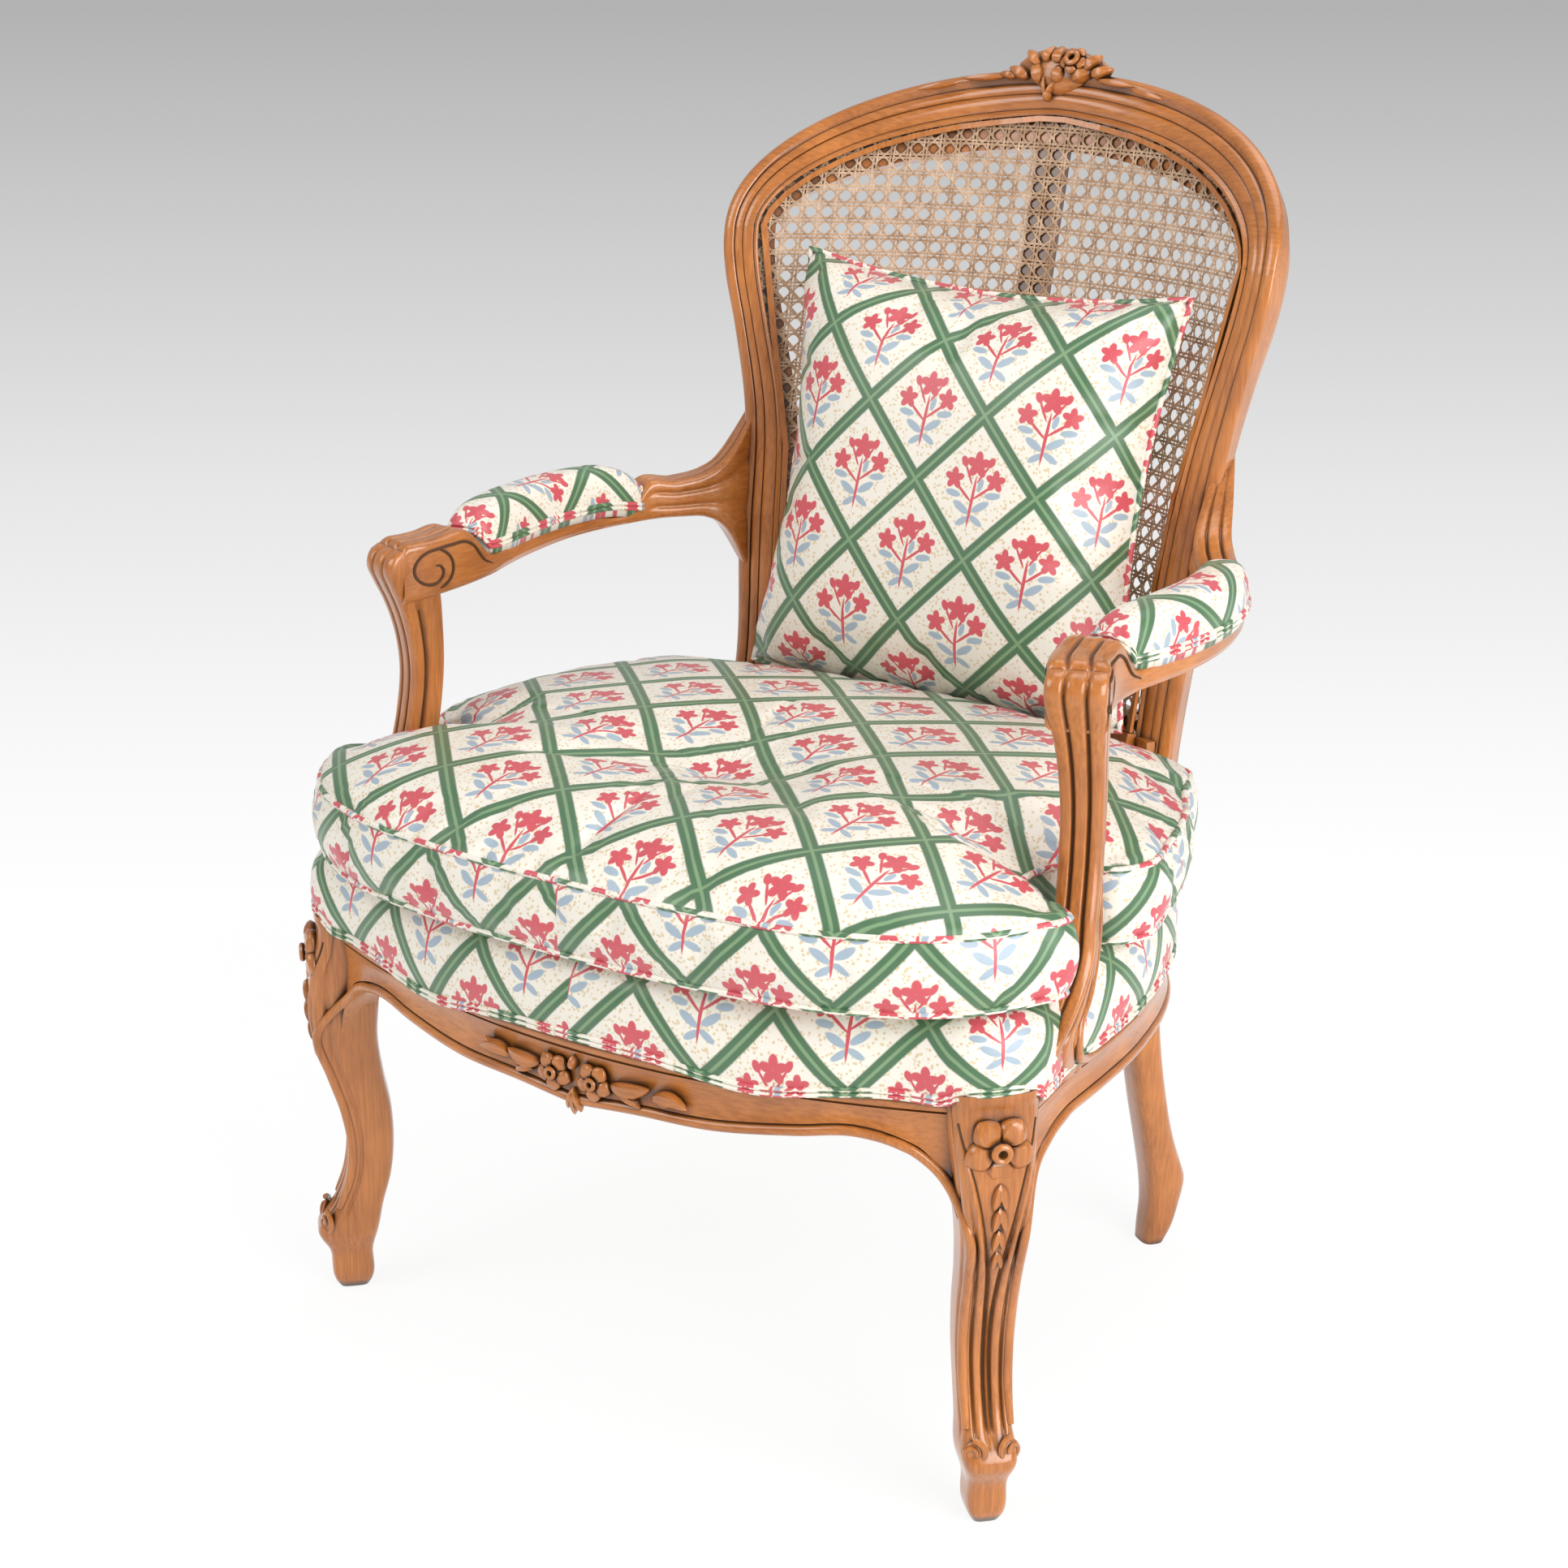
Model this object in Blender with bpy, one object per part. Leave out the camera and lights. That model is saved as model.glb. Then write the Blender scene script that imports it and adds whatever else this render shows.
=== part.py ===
"""Caned fauteuil: a carved open armchair with a concave cane back, a tight seat deck,
a loose boxed seat cushion and a loose knife-edge pillow.

Metres, +Z up, the chair faces -Y, the floor is z = 0 and x = 0 is the plane of symmetry.
"""

import math

import bmesh
import bpy
import numpy as np
from mathutils import Matrix, Vector
from mathutils.bvhtree import BVHTree

NAME = "caned_fauteuil"

# Fits
CLEAR = 0.0003

# Back: a cylinder with a vertical axis in front of the chair, raked backwards
BACK_RADIUS = 0.370
BACK_RAKE = 0.256
# Point of the front face that keeps its place when the curve changes: on the stiles
BACK_ANCHOR_X = 0.200
BACK_ANCHOR_Y = 0.2733
BACK_ANCHOR_Z = 0.965
RAKE_STARTS = 0.380
RAKE_FULL = 0.520

# Back frame: crest arch above the joint, stiles below it
JOINT_Z = 0.842
ARCH_RISE = 0.135
ARCH_POWER = 2.25
OPENING_RISE = 0.099
OPENING_POWER = 1.9
LEDGE_RISE = 0.071
FRAME_DEPTH = 0.031
REBATE_DEPTH = 0.009
BEAD = 0.0045
HOLLOW = 0.0055
# Set back of the outer edge, as a share of the face: the stiles face further forward than the hollow
FACE_TURN = 0.62
CREST_RINGS = 24

# Stile and rear leg in one piece: height, outer edge, inner edge, kick to the rear, depth
STILE_ROWS = (
    (0.000, 0.2210, 0.2050, 0.1452, 0.0160),
    (0.030, 0.2230, 0.2020, 0.1422, 0.0250),
    (0.062, 0.2240, 0.1995, 0.1312, 0.0330),
    (0.100, 0.2215, 0.1980, 0.1112, 0.0270),
    (0.150, 0.2190, 0.1955, 0.0842, 0.0245),
    (0.250, 0.2150, 0.1905, 0.0392, 0.0270),
    (0.360, 0.2110, 0.1850, 0.0122, 0.0310),
    (0.465, 0.2085, 0.1780, 0.0080, 0.0330),
    (0.580, 0.2155, 0.1745, 0.0000, 0.0340),
    (0.690, 0.2235, 0.1865, 0.0000, 0.0310),
    (0.760, 0.2372, 0.2035, 0.0000, 0.0300),
    (JOINT_Z, 0.2525, 0.2190, 0.0000, FRAME_DEPTH),
)
STILE_STEPS = (0.03, 0.062, 0.1, 0.15, 0.2, 0.25, 0.31, 0.36, 0.41)
STILE_STEPS += (0.465, 0.52, 0.58, 0.64, 0.69, 0.74, 0.79)
# Edge of the cane opening: height, half width
OPENING_ROWS = (
    (0.420, 0.1820),
    (0.480, 0.1830),
    (0.580, 0.1865),
    (0.690, 0.1985),
    (0.760, 0.2155),
    (JOINT_Z, 0.2310),
)
OPENING_BOTTOM = 0.462

# Lower back rail and brace
LOWER_RAIL_Z = 0.428
LOWER_RAIL_TOP = 0.478
LOWER_RAIL_DEPTH = 0.026
LOWER_RAIL_ROUND = 0.004
BRACE_WIDTH = 0.028
BRACE_DEPTH = 0.011
BRACE_HOUSING = 0.008
BRACE_ROUND = 0.002

# Cane sheet and its spline
CANE_THICK = 0.002
CANE_FIT = 0.002
CANE_PITCH = 0.0430
CANE_GAP = 0.0300
CANE_BORDER = 0.012
# Seams between the strips of the sheet, in columns from the middle: flat strips follow the hollow
CANE_SEAMS = (-3.58, -1.42, 1.42, 3.58)
SPLINE_WIDTH = 0.0045
SPLINE_HEIGHT = 0.003
SPLINE_FIT = 0.0014
SPLINE_INSET = 0.0012
SHEET_COLUMNS = 13
SHEET_LOW_ROWS = 4
SHEET_ARCH_ROWS = 10

# Seat: the legs, posts, arms and cushion keep their distance from the front rail and its ends
FRONT_HALF = 0.280
FRONT_Y = -0.362
FRONT_BOW = 0.060
RAIL_TOP = 0.352
SHOW_TOP = RAIL_TOP - 0.020
RAIL_THICK = 0.030
RAIL_BEAD = 0.006
RAIL_REACH = 0.014
UPHOLSTERY_REBATE = 0.005

# Front cabriole legs: height, outward bow, thickness along the diagonal, width across it
FRONT_FOOT_X = FRONT_HALF + 0.029
FRONT_FOOT_Y = FRONT_Y + 0.082
KNEE_TOP = RAIL_TOP - 0.017
LEG_ROWS = (
    (0.000, 0.0000, 0.0240, 0.0200),
    (0.004, 0.0000, 0.0290, 0.0245),
    (0.036, 0.0010, 0.0370, 0.0310),
    (0.055, 0.0025, 0.0510, 0.0410),
    (0.076, -0.0068, 0.0415, 0.0385),
    (0.104, -0.0164, 0.0380, 0.0380),
    (0.131, -0.0198, 0.0380, 0.0395),
    (0.164, -0.0175, 0.0415, 0.0405),
    (0.195, -0.0105, 0.0455, 0.0410),
    (0.230, -0.0035, 0.0530, 0.0450),
    (0.262, -0.0025, 0.0600, 0.0520),
    (0.290, -0.0040, 0.0600, 0.0580),
    (0.316, -0.0085, 0.0570, 0.0620),
    (KNEE_TOP, -0.0105, 0.0540, 0.0620),
)
LEG_ROUND = 0.007

# Lower edge of the front rail: distance from the middle, height
FRONT_EDGE_ROWS = (
    (0.000, 0.2780),
    (0.050, 0.2825),
    (0.120, 0.2840),
    (0.180, 0.2910),
    (0.225, 0.2970),
    (0.262, 0.2880),
    (0.300, 0.2600),
)
# Outer face of a side rail: distance along the chair, half width; and its lower edge
SIDE_ROWS = (
    (-0.330, FRONT_HALF + 0.0600),
    (-0.250, FRONT_HALF + 0.0530),
    (-0.200, FRONT_HALF + 0.0470),
    (-0.140, FRONT_HALF + 0.0450),
    (-0.090, FRONT_HALF + 0.0410),
    (-0.040, FRONT_HALF + 0.0320),
    (0.000, FRONT_HALF + 0.0220),
    (0.050, 0.2830),
    (0.095, 0.2570),
    (0.150, 0.2230),
)
SIDE_EDGE_ROWS = (
    (-0.330, 0.2750),
    (-0.270, 0.2850),
    (-0.230, 0.2885),
    (-0.180, 0.2915),
    (0.000, 0.2890),
    (0.160, 0.2870),
)
SIDE_START_Y = FRONT_FOOT_Y + 0.010
SIDE_END_Y = 0.140
REAR_RAIL_Y = 0.128
REAR_RAIL_Z = 0.285
REAR_RAIL_THICK = 0.024

# Arms: station, x, y, top, bottom, width
ARM_TIP_TURN = 0.42
ARM_ROWS = (
    (0.00, FRONT_HALF + 0.0405, -0.1965, 0.6210, 0.5770, 0.0430),
    (0.14, FRONT_HALF + 0.0380, -0.1500, 0.6275, 0.5810, 0.0410),
    (0.23, FRONT_HALF + 0.0365, -0.1130, 0.6310, 0.5840, 0.0400),
    (0.27, FRONT_HALF + 0.0355, -0.0990, 0.6090, 0.5850, 0.0395),
    (0.45, FRONT_HALF + 0.0320, -0.0300, 0.6110, 0.5880, 0.0390),
    (0.62, FRONT_HALF + 0.0240, 0.0380, 0.6120, 0.5905, 0.0365),
    (0.77, 0.2865, 0.0965, 0.6120, 0.5925, 0.0340),
    (0.80, 0.2815, 0.1075, 0.6260, 0.5930, 0.0335),
    (0.87, 0.2650, 0.1350, 0.6270, 0.5930, 0.0325),
    (0.94, 0.2470, 0.1620, 0.6330, 0.5900, 0.0320),
    (1.00, 0.2320, 0.1830, 0.6520, 0.5680, 0.0320),
)
ARM_STEPS = (0.07, 0.14, 0.23, 0.27, 0.36, 0.45, 0.54, 0.62, 0.7)
ARM_STEPS += (0.77, 0.8, 0.83, 0.87, 0.905, 0.94, 0.97)
ARM_ROUND = 0.006
PAD_START = 0.245
PAD_END = 0.79
PAD_RISE = 0.034
PAD_OVERHANG = 0.003
PAD_TUCK = 0.009
PAD_END_WIDTH = 0.86
PAD_END_RISE = 0.45

# Arm posts: height, x, y, width, depth
POST_ROWS = (
    (0.330, FRONT_HALF + 0.0380, -0.1880, 0.0310, 0.0480),
    (0.365, FRONT_HALF + 0.0400, -0.1860, 0.0310, 0.0400),
    (0.400, FRONT_HALF + 0.0400, -0.1800, 0.0310, 0.0350),
    (0.440, FRONT_HALF + 0.0415, -0.1690, 0.0310, 0.0325),
    (0.480, FRONT_HALF + 0.0420, -0.1570, 0.0315, 0.0320),
    (0.520, FRONT_HALF + 0.0410, -0.1500, 0.0320, 0.0325),
    (0.555, FRONT_HALF + 0.0395, -0.1520, 0.0340, 0.0350),
    (0.595, FRONT_HALF + 0.0380, -0.1660, 0.0360, 0.0420),
)
POST_STEPS = (0.38, 0.41, 0.44, 0.48, 0.52, 0.55)

# Tight seat deck and its webbing
WEB_WIDTH = 0.045
WEB_THICK = 0.0016
WEB_LAP = 0.016
WEB_LONG_X = (-0.130, 0.000, 0.130)
WEB_CROSS_Y = (-0.240, -0.115, 0.010)
DECK_TOP = RAIL_TOP + 0.045
DECK_CORNER = 0.030
DECK_BULGE = 0.003
DECK_ROLL = 0.028

# Loose seat cushion
CUSHION_FOOT = DECK_TOP + CLEAR
CUSHION_BOXING = 0.060
CUSHION_CROWN = 0.038
CUSHION_FULLNESS = 0.6
CUSHION_TUFT = 0.014
CUSHION_TUFT_Y = -0.170
CUSHION_TUFT_REACH = 0.045
CUSHION_NOTCH = 0.005
CUSHION_ROUND = 0.010
CUSHION_SEAM = 0.004
CUSHION_BULGE = 0.002
CUSHION_FRONT_Y = FRONT_Y - 0.010
CUSHION_REAR_Y = 0.150
CUSHION_EAR_X = FRONT_HALF + 0.058
CUSHION_SIDE_X = FRONT_HALF + 0.054
CUSHION_MIDDLE_Y = -0.165
# Sides behind the posts: distance along the chair, overhang past the rail
CUSHION_OVERHANG = ((-0.050, 0.012), (0.010, 0.010), (0.060, 0.006))
# Rear edge: share of the side, distance before the rear
CUSHION_REAR = ((0.80, 0.048), (0.62, 0.026), (0.30, 0.006))

# Loose pillow
PILLOW_TOP = 0.376
PILLOW_FOOT = 0.372
PILLOW_HEIGHT = 0.361
PILLOW_HALF_THICK = 0.062
PILLOW_REAR = 0.85
PILLOW_SEAM = 0.002
PILLOW_DRAW = 0.018
PILLOW_FOOT_DRAW = -0.006
PILLOW_LEAN = 14.4
PILLOW_TURN = -1.5
PILLOW_X = 0.003
PILLOW_TRIAL_Y = 0.060
PILLOW_TRIAL_Z = 0.760
PILLOW_DROP = 0.1
PILLOW_BACK_GAP = 0.006

# Tenons: length, thickness and width of each kind, and where they stand
RAIL_TENON = (0.036, 0.010, 0.030)
REAR_TENON = (0.024, 0.010, 0.022)
SIDE_REAR_TENON = (0.022, 0.008, 0.026)
POST_TENON = (0.034, 0.013, 0.013)
ARM_TENON = (0.030, 0.010, 0.036)
CREST_TENON = (0.036, 0.010, 0.012)
LOWER_TENON = (0.022, 0.008, 0.030)
LEG_TENON_Z = RAIL_TOP - 0.036
FRONT_TENON_X = FRONT_HALF - 0.004
SIDE_TENON_Y = -0.247
SIDE_REAR_TENON_Z = 0.305
REAR_TENON_X = 0.190
REAR_TENON_Z = RAIL_TOP - 0.016
POST_TENON_X = FRONT_HALF + 0.0315
POST_TENON_Y = -0.172
POST_FOOT_TENON_Y = -0.186
ARM_TENON_Z = 0.612
CREST_TENON_X = 0.243
LOWER_TENON_X = 0.187
TENON_DEPTH = 0.015

# Corner blocks and their screws
BLOCK_LEG = 0.115
BLOCK_HEIGHT = 0.036
BLOCK_Z = RAIL_TOP - 0.050
FRONT_BLOCK = (FRONT_FOOT_X + 0.003, FRONT_FOOT_Y - 0.005)
FRONT_BLOCK_ARMS = ((-0.953, -0.300), (0.0, 1.0))
REAR_BLOCK = (0.206, 0.134)
REAR_BLOCK_ARMS = ((-1.0, 0.0), (0.550, -0.830))
SCREW_LENGTH = 0.028
SCREW_SHANK = 0.0021
SCREW_HEAD = 0.0042
SCREW_HEAD_HEIGHT = 0.003
SCREW_SIDES = 8
SCREW_COVER = 0.008
SCREW_REACH = 0.030
FRONT_SCREW_X = FRONT_HALF - 0.044
SIDE_SCREW_Y = -0.215
REAR_SCREW_X = 0.160
SIDE_REAR_SCREW_Y = 0.100

# Carved cluster on the crest: across, up, forward, three half sizes
CLUSTER = (
    (0.000, 0.006, 0.002, 0.017, 0.015, 0.012),
    (-0.022, 0.001, 0.001, 0.014, 0.013, 0.010),
    (0.021, 0.001, 0.001, 0.015, 0.013, 0.010),
    (-0.040, -0.006, 0.002, 0.016, 0.009, 0.008),
    (0.040, -0.006, 0.002, 0.016, 0.009, 0.008),
    (0.000, -0.018, 0.000, 0.008, 0.016, 0.007),
)

FRUITWOOD = (0.42, 0.17, 0.05)
BEECH = (0.55, 0.36, 0.18)
CANE = (0.52, 0.34, 0.17)
LINEN = (0.80, 0.74, 0.62)
JUTE = (0.45, 0.33, 0.18)
STEEL = (0.55, 0.54, 0.52)


def clear_scene():
    for item in list(bpy.data.objects):
        bpy.data.objects.remove(item, do_unlink=True)


def new_collection(name):
    group = bpy.data.collections.new(name)
    bpy.context.scene.collection.children.link(group)
    return group


def paint(item, colour, roughness, metallic=0.0):
    """Gives an object its own Principled material."""
    material = bpy.data.materials.new(item.name + "_finish")
    material.use_nodes = True
    shader = material.node_tree.nodes["Principled BSDF"]
    shader.inputs["Base Color"].default_value = (*colour, 1.0)
    shader.inputs["Roughness"].default_value = roughness
    shader.inputs["Metallic"].default_value = metallic
    item.data.materials.append(material)
    return item


def through(rows, at):
    """Smooth curve through rows of (key, values): cubic pieces with averaged slopes."""
    rows = np.asarray(rows, float)
    key, value = rows[:, 0], rows[:, 1:]
    slope = np.gradient(value, key, axis=0)
    at = np.clip(np.atleast_1d(np.asarray(at, float)), key[0], key[-1])
    i = np.clip(np.searchsorted(key, at, side="right") - 1, 0, len(key) - 2)
    step = (key[i + 1] - key[i])[:, None]
    t = (at[:, None] - key[i][:, None]) / step
    near = (1 + 2 * t) * (1 - t) ** 2 * value[i] + t * (1 - t) ** 2 * step * slope[i]
    far = t**2 * (3 - 2 * t) * value[i + 1] + t**2 * (t - 1) * step * slope[i + 1]
    return near + far


def ease(low, high, at):
    t = np.clip((np.asarray(at, float) - low) / (high - low), 0.0, 1.0)
    return t * t * (3 - 2 * t)


def link(name, bm, group, smooth_angle=35.0):
    mesh = bpy.data.meshes.new(name)
    bmesh.ops.recalc_face_normals(bm, faces=bm.faces)
    bm.to_mesh(mesh)
    bm.free()
    mesh.shade_smooth()
    mesh.set_sharp_from_angle(angle=math.radians(smooth_angle))
    item = bpy.data.objects.new(name, mesh)
    group.objects.link(item)
    if group.name.endswith("cutters"):
        item.hide_render = True
        item.display_type = "WIRE"
    return item


def skin(name, rings, group, ring_of_rings=False):
    """Closed skin over rings of points. The first and last ring are capped, unless they meet."""
    bm = bmesh.new()
    loops = [[bm.verts.new(point) for point in ring] for ring in rings]
    around = len(loops[0])
    last = len(loops) if ring_of_rings else len(loops) - 1
    for i in range(last):
        here, there = loops[i], loops[(i + 1) % len(loops)]
        for j in range(around):
            k = (j + 1) % around
            bm.faces.new((here[j], here[k], there[k], there[j]))
    bmesh.ops.triangulate(bm, faces=bm.faces, quad_method="FIXED")
    if not ring_of_rings:
        bm.faces.new(loops[0])
        bm.faces.new(loops[-1])
    return link(name, bm, group)


def rounded(width, depth, radius, arc=2):
    """Rounded rectangle about the origin, as points counter-clockwise from the +u side."""
    points = []
    for quarter in range(4):
        a = math.pi / 2 * quarter
        cu = (width / 2 - radius) * (1 if quarter in (0, 3) else -1)
        cv = (depth / 2 - radius) * (1 if quarter in (0, 1) else -1)
        for step in range(arc + 1):
            turn = a + math.pi / 2 * step / arc
            points.append((cu + radius * math.cos(turn), cv + radius * math.sin(turn)))
    return np.array(points)


def box(name, size, centre, group, turn=Matrix.Identity(3)):
    bm = bmesh.new()
    bmesh.ops.create_cube(bm, size=1.0, matrix=Matrix.Diagonal((*size, 1.0)))
    bmesh.ops.transform(bm, matrix=Matrix.Translation(centre) @ turn.to_4x4(), verts=bm.verts)
    return link(name, bm, group)


def axes(along, up=(0.0, 0.0, 1.0)):
    """Rotation whose x runs along a direction and whose z stays near up."""
    x = Vector(along).normalized()
    y = Vector(up).cross(x).normalized()
    return Matrix((x, y, x.cross(y))).transposed()


def boolean(item, tool, operation):
    change = item.modifiers.new(operation.lower() + "_" + tool.name, "BOOLEAN")
    change.operation = operation
    change.object = tool
    change.solver = "EXACT"


def grown(item, amount, group):
    """Copy of an object's own mesh with every face moved out by an amount, for cutting a fit."""
    bm = bmesh.new()
    bm.from_mesh(item.data)
    bm.normal_update()
    moves = [vert.normal * (amount * vert.calc_shell_factor()) for vert in bm.verts]
    for vert, move in zip(bm.verts, moves):
        vert.co += move
    return link(item.name + "_fit", bm, group)


def fit_round(item, hosts, cutters):
    """Trims an object to the faces of its neighbours, less the clearance."""
    for host in hosts:
        boolean(item, cutters[host.name + "_fit"], "DIFFERENCE")


def tenon(item, host, size, centre, along, cutters, up=(0.0, 0.0, 1.0)):
    """Adds a tenon to an object and cuts its mortise in the host."""
    turn = axes(along, up)
    name = f"{item.name}_into_{host.name}"
    boolean(item, box(name, size, centre, cutters, turn), "UNION")
    slack = [side + 2 * CLEAR for side in size]
    boolean(host, box(name + "_mortise", slack, centre, cutters, turn), "DIFFERENCE")


def back_y(x, z):
    """Front face of the back: a concave cylinder, leaning back with height."""
    hollow = np.sqrt(BACK_RADIUS**2 - np.square(x)) - math.sqrt(BACK_RADIUS**2 - BACK_ANCHOR_X**2)
    return BACK_ANCHOR_Y - (BACK_ANCHOR_Z - z) * BACK_RAKE + hollow


def back_point(x, z, d, kick=0.0):
    """Point d behind the front face of the back, square to its curve and its rake."""
    x, z, d = np.broadcast_arrays(np.asarray(x, float), z, d)
    sine = x / BACK_RADIUS
    fall = BACK_RAKE * ease(RAKE_STARTS, RAKE_FULL, z)
    y = back_y(x, z) + kick + d * np.sqrt(1 - sine**2)
    return np.stack([x + d * sine, y, z - d * fall], axis=-1)


def moulding(width, face, depth, relief, turn):
    """Frame section from the outer edge inwards: bead, hollow, inner bead, ledge and plain back."""
    hollow = HOLLOW * relief
    bead = min(BEAD, face / 7)
    section = np.array(
        [
            (1.6 * bead, 0.62 * depth),
            (0.0, 1.3 * bead),
            (0.35 * bead, 0.3 * bead),
            (bead, 0.0),
            (1.9 * bead, 0.3 * bead),
            (2.3 * bead, 0.3 * bead + 0.6 * hollow),
            (0.55 * face, 0.3 * bead + hollow),
            (face - 1.9 * bead, 0.3 * bead + 0.5 * hollow),
            (face - 1.2 * bead, 0.1 * bead),
            (face - 0.4 * bead, 0.6 * bead),
            (width, 1.5 * bead),
            (width, depth - 0.7 * bead),
            (width - 0.7 * bead, depth),
            (3.8 * bead, depth),
        ]
    )
    section[:, 1] += turn * np.clip(face - section[:, 0], 0.0, None)
    return section


def arch(half_width, rise, power, angle):
    """Superellipse arch standing on the joint line."""
    c, s = np.cos(angle), np.abs(np.sin(angle))
    x = half_width * np.sign(c) * np.abs(c) ** (2 / power)
    return x, JOINT_Z + rise * s ** (2 / power)


def stile_ring(z, side):
    outer, inner, kick, depth = through(STILE_ROWS, z)[0]
    face = outer - through(OPENING_ROWS, z)[0, 0]
    relief = float(ease(RAKE_STARTS, RAKE_FULL, z))
    face = relief * face + (1 - relief) * (outer - inner)
    section = moulding(outer - inner, face, depth, relief, FACE_TURN * relief)
    points = back_point(outer - section[:, 0], z, section[:, 1], kick)
    points[:, 0] *= side
    return points


def make_stile(side, label, parts):
    heights = (0.0, *STILE_STEPS, JOINT_Z - CLEAR)
    item = skin(f"rear_stile_{label}", [stile_ring(z, side) for z in heights], parts)
    return paint(item, FRUITWOOD, 0.35)


def crest_ring(angle):
    outer_x, outer_z = arch(STILE_ROWS[-1][1], ARCH_RISE, ARCH_POWER, angle)
    inner_x, inner_z = arch(STILE_ROWS[-1][2], LEDGE_RISE, OPENING_POWER, angle)
    edge_x, edge_z = arch(OPENING_ROWS[-1][1], OPENING_RISE, OPENING_POWER, angle)
    width = math.hypot(outer_x - inner_x, outer_z - inner_z)
    face = math.hypot(outer_x - edge_x, outer_z - edge_z)
    section = moulding(width, face, FRAME_DEPTH, 1.0, FACE_TURN * abs(math.cos(angle)))
    share = section[:, 0] / width
    x = outer_x + (inner_x - outer_x) * share
    z = outer_z + (inner_z - outer_z) * share
    return back_point(x, z, section[:, 1])


def make_crest(parts, cutters):
    angles = np.linspace(0.0, math.pi, CREST_RINGS + 1)
    item = skin("crest_rail", [crest_ring(angle) for angle in angles], parts)
    top = JOINT_Z + ARCH_RISE
    for number, (across, up, forward, half_x, half_z, half_y) in enumerate(CLUSTER):
        bm = bmesh.new()
        bmesh.ops.create_uvsphere(bm, u_segments=10, v_segments=6, radius=1.0)
        place = back_point(across, top + up, 0.4 * FRAME_DEPTH - forward)
        scale = Matrix.Diagonal((half_x, half_y, half_z, 1.0))
        bmesh.ops.transform(bm, matrix=Matrix.Translation(place) @ scale, verts=bm.verts)
        boolean(item, link(f"crest_flower_{number}", bm, cutters), "UNION")
    return paint(item, FRUITWOOD, 0.35)


def opening_half(z):
    """Half width of the cane opening at a height."""
    rise = np.clip((np.asarray(z, float) - JOINT_Z) / OPENING_RISE, 0.0, 1.0)
    above = OPENING_ROWS[-1][1] * (1 - rise**OPENING_POWER) ** (1 / OPENING_POWER)
    return np.where(np.asarray(z) > JOINT_Z, above, through(OPENING_ROWS, z)[:, 0])


def sheet_heights():
    """Rows of the cane sheet, from the bottom of the opening to its crown, closer in the arch."""
    low = np.linspace(OPENING_BOTTOM + CANE_FIT, JOINT_Z, SHEET_LOW_ROWS, endpoint=False)
    angle = np.linspace(0.0, 0.48 * math.pi, SHEET_ARCH_ROWS)
    high = JOINT_Z + (OPENING_RISE - CANE_FIT) * np.sin(angle) ** (2 / OPENING_POWER)
    return np.concatenate([low, high])


def plate(name, slack, front, rear, group):
    """Curved plate with the outline of the cane sheet and some slack, between two depths."""
    rings = []
    heights = sheet_heights()
    for z in heights:
        half = opening_half(min(z + CANE_FIT, JOINT_Z + OPENING_RISE))[0] - CANE_FIT + slack
        x = np.linspace(-half, half, SHEET_COLUMNS)
        z = z - slack * (z == heights[0]) + slack * (z == heights[-1])
        rings.append(np.vstack([back_point(x, z, front), back_point(x[::-1], z, rear)]))
    return skin(name, rings, group)


def cane_gap(column, row):
    """Place and size of one gap of the net, or None where it would reach the edge."""
    reach = CANE_GAP / 2 + CANE_BORDER
    x, z = column * CANE_PITCH, OPENING_BOTTOM + reach + row * CANE_PITCH
    if z + reach > JOINT_Z + OPENING_RISE:
        return None
    if abs(x) + reach > min(opening_half(z - reach)[0], opening_half(z + reach)[0]):
        return None
    sine = x / BACK_RADIUS
    turn = axes((math.sqrt(1 - sine**2), -sine, 0.0), (0.0, BACK_RAKE, 1.0))
    size = Matrix.Diagonal((CANE_GAP, 10 * CANE_THICK, CANE_GAP, 1.0))
    return Matrix.Translation(back_point(x, z, REBATE_DEPTH)) @ turn.to_4x4() @ size


def make_cane(parts, cutters):
    """Cane sheet with coarse gaps for its weave, in strips side by side."""
    rear = REBATE_DEPTH - CLEAR
    rows = range(int((JOINT_Z + OPENING_RISE - OPENING_BOTTOM) / CANE_PITCH) + 1)
    far = int(OPENING_ROWS[-1][1] / CANE_PITCH) + 1
    ends = (-far, *CANE_SEAMS, far)
    strips = []
    for number, (left, right) in enumerate(zip(ends[:-1], ends[1:]), 1):
        bm = bmesh.new()
        for column in range(math.ceil(left), math.floor(right) + 1):
            places = (cane_gap(column, row) for row in rows)
            for place in filter(None, places):
                bmesh.ops.create_cube(bm, size=1.0, matrix=place)
        for end, side in ((left, -1.0), (right, 1.0)):
            middle = Vector((end * CANE_PITCH + side * (0.5 - CLEAR), 0.0, JOINT_Z))
            bmesh.ops.create_cube(bm, size=1.0, matrix=Matrix.Translation(middle))
        item = plate(f"cane_panel_{number}", 0.0, rear - CANE_THICK, rear, parts)
        boolean(item, link(f"cane_gaps_{number}", bm, cutters), "DIFFERENCE")
        strips.append(paint(item, CANE, 0.5))
    return strips


def opening_outline():
    """Edge of the rebate as a closed line of x and z, on the rows and columns of the sheet."""
    z = sheet_heights()
    x = opening_half(np.minimum(z + CANE_FIT, JOINT_Z + OPENING_RISE))
    z = z - CANE_FIT * (z == z[0]) + CANE_FIT * (z == z[-1])
    bottom = np.linspace(-x[0], x[0], SHEET_COLUMNS)[:-1]
    right, left = np.column_stack([x, z]), np.column_stack([-x, z])[:0:-1]
    return np.vstack([np.column_stack([bottom, np.full(len(bottom), z[0])]), right, left])


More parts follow.
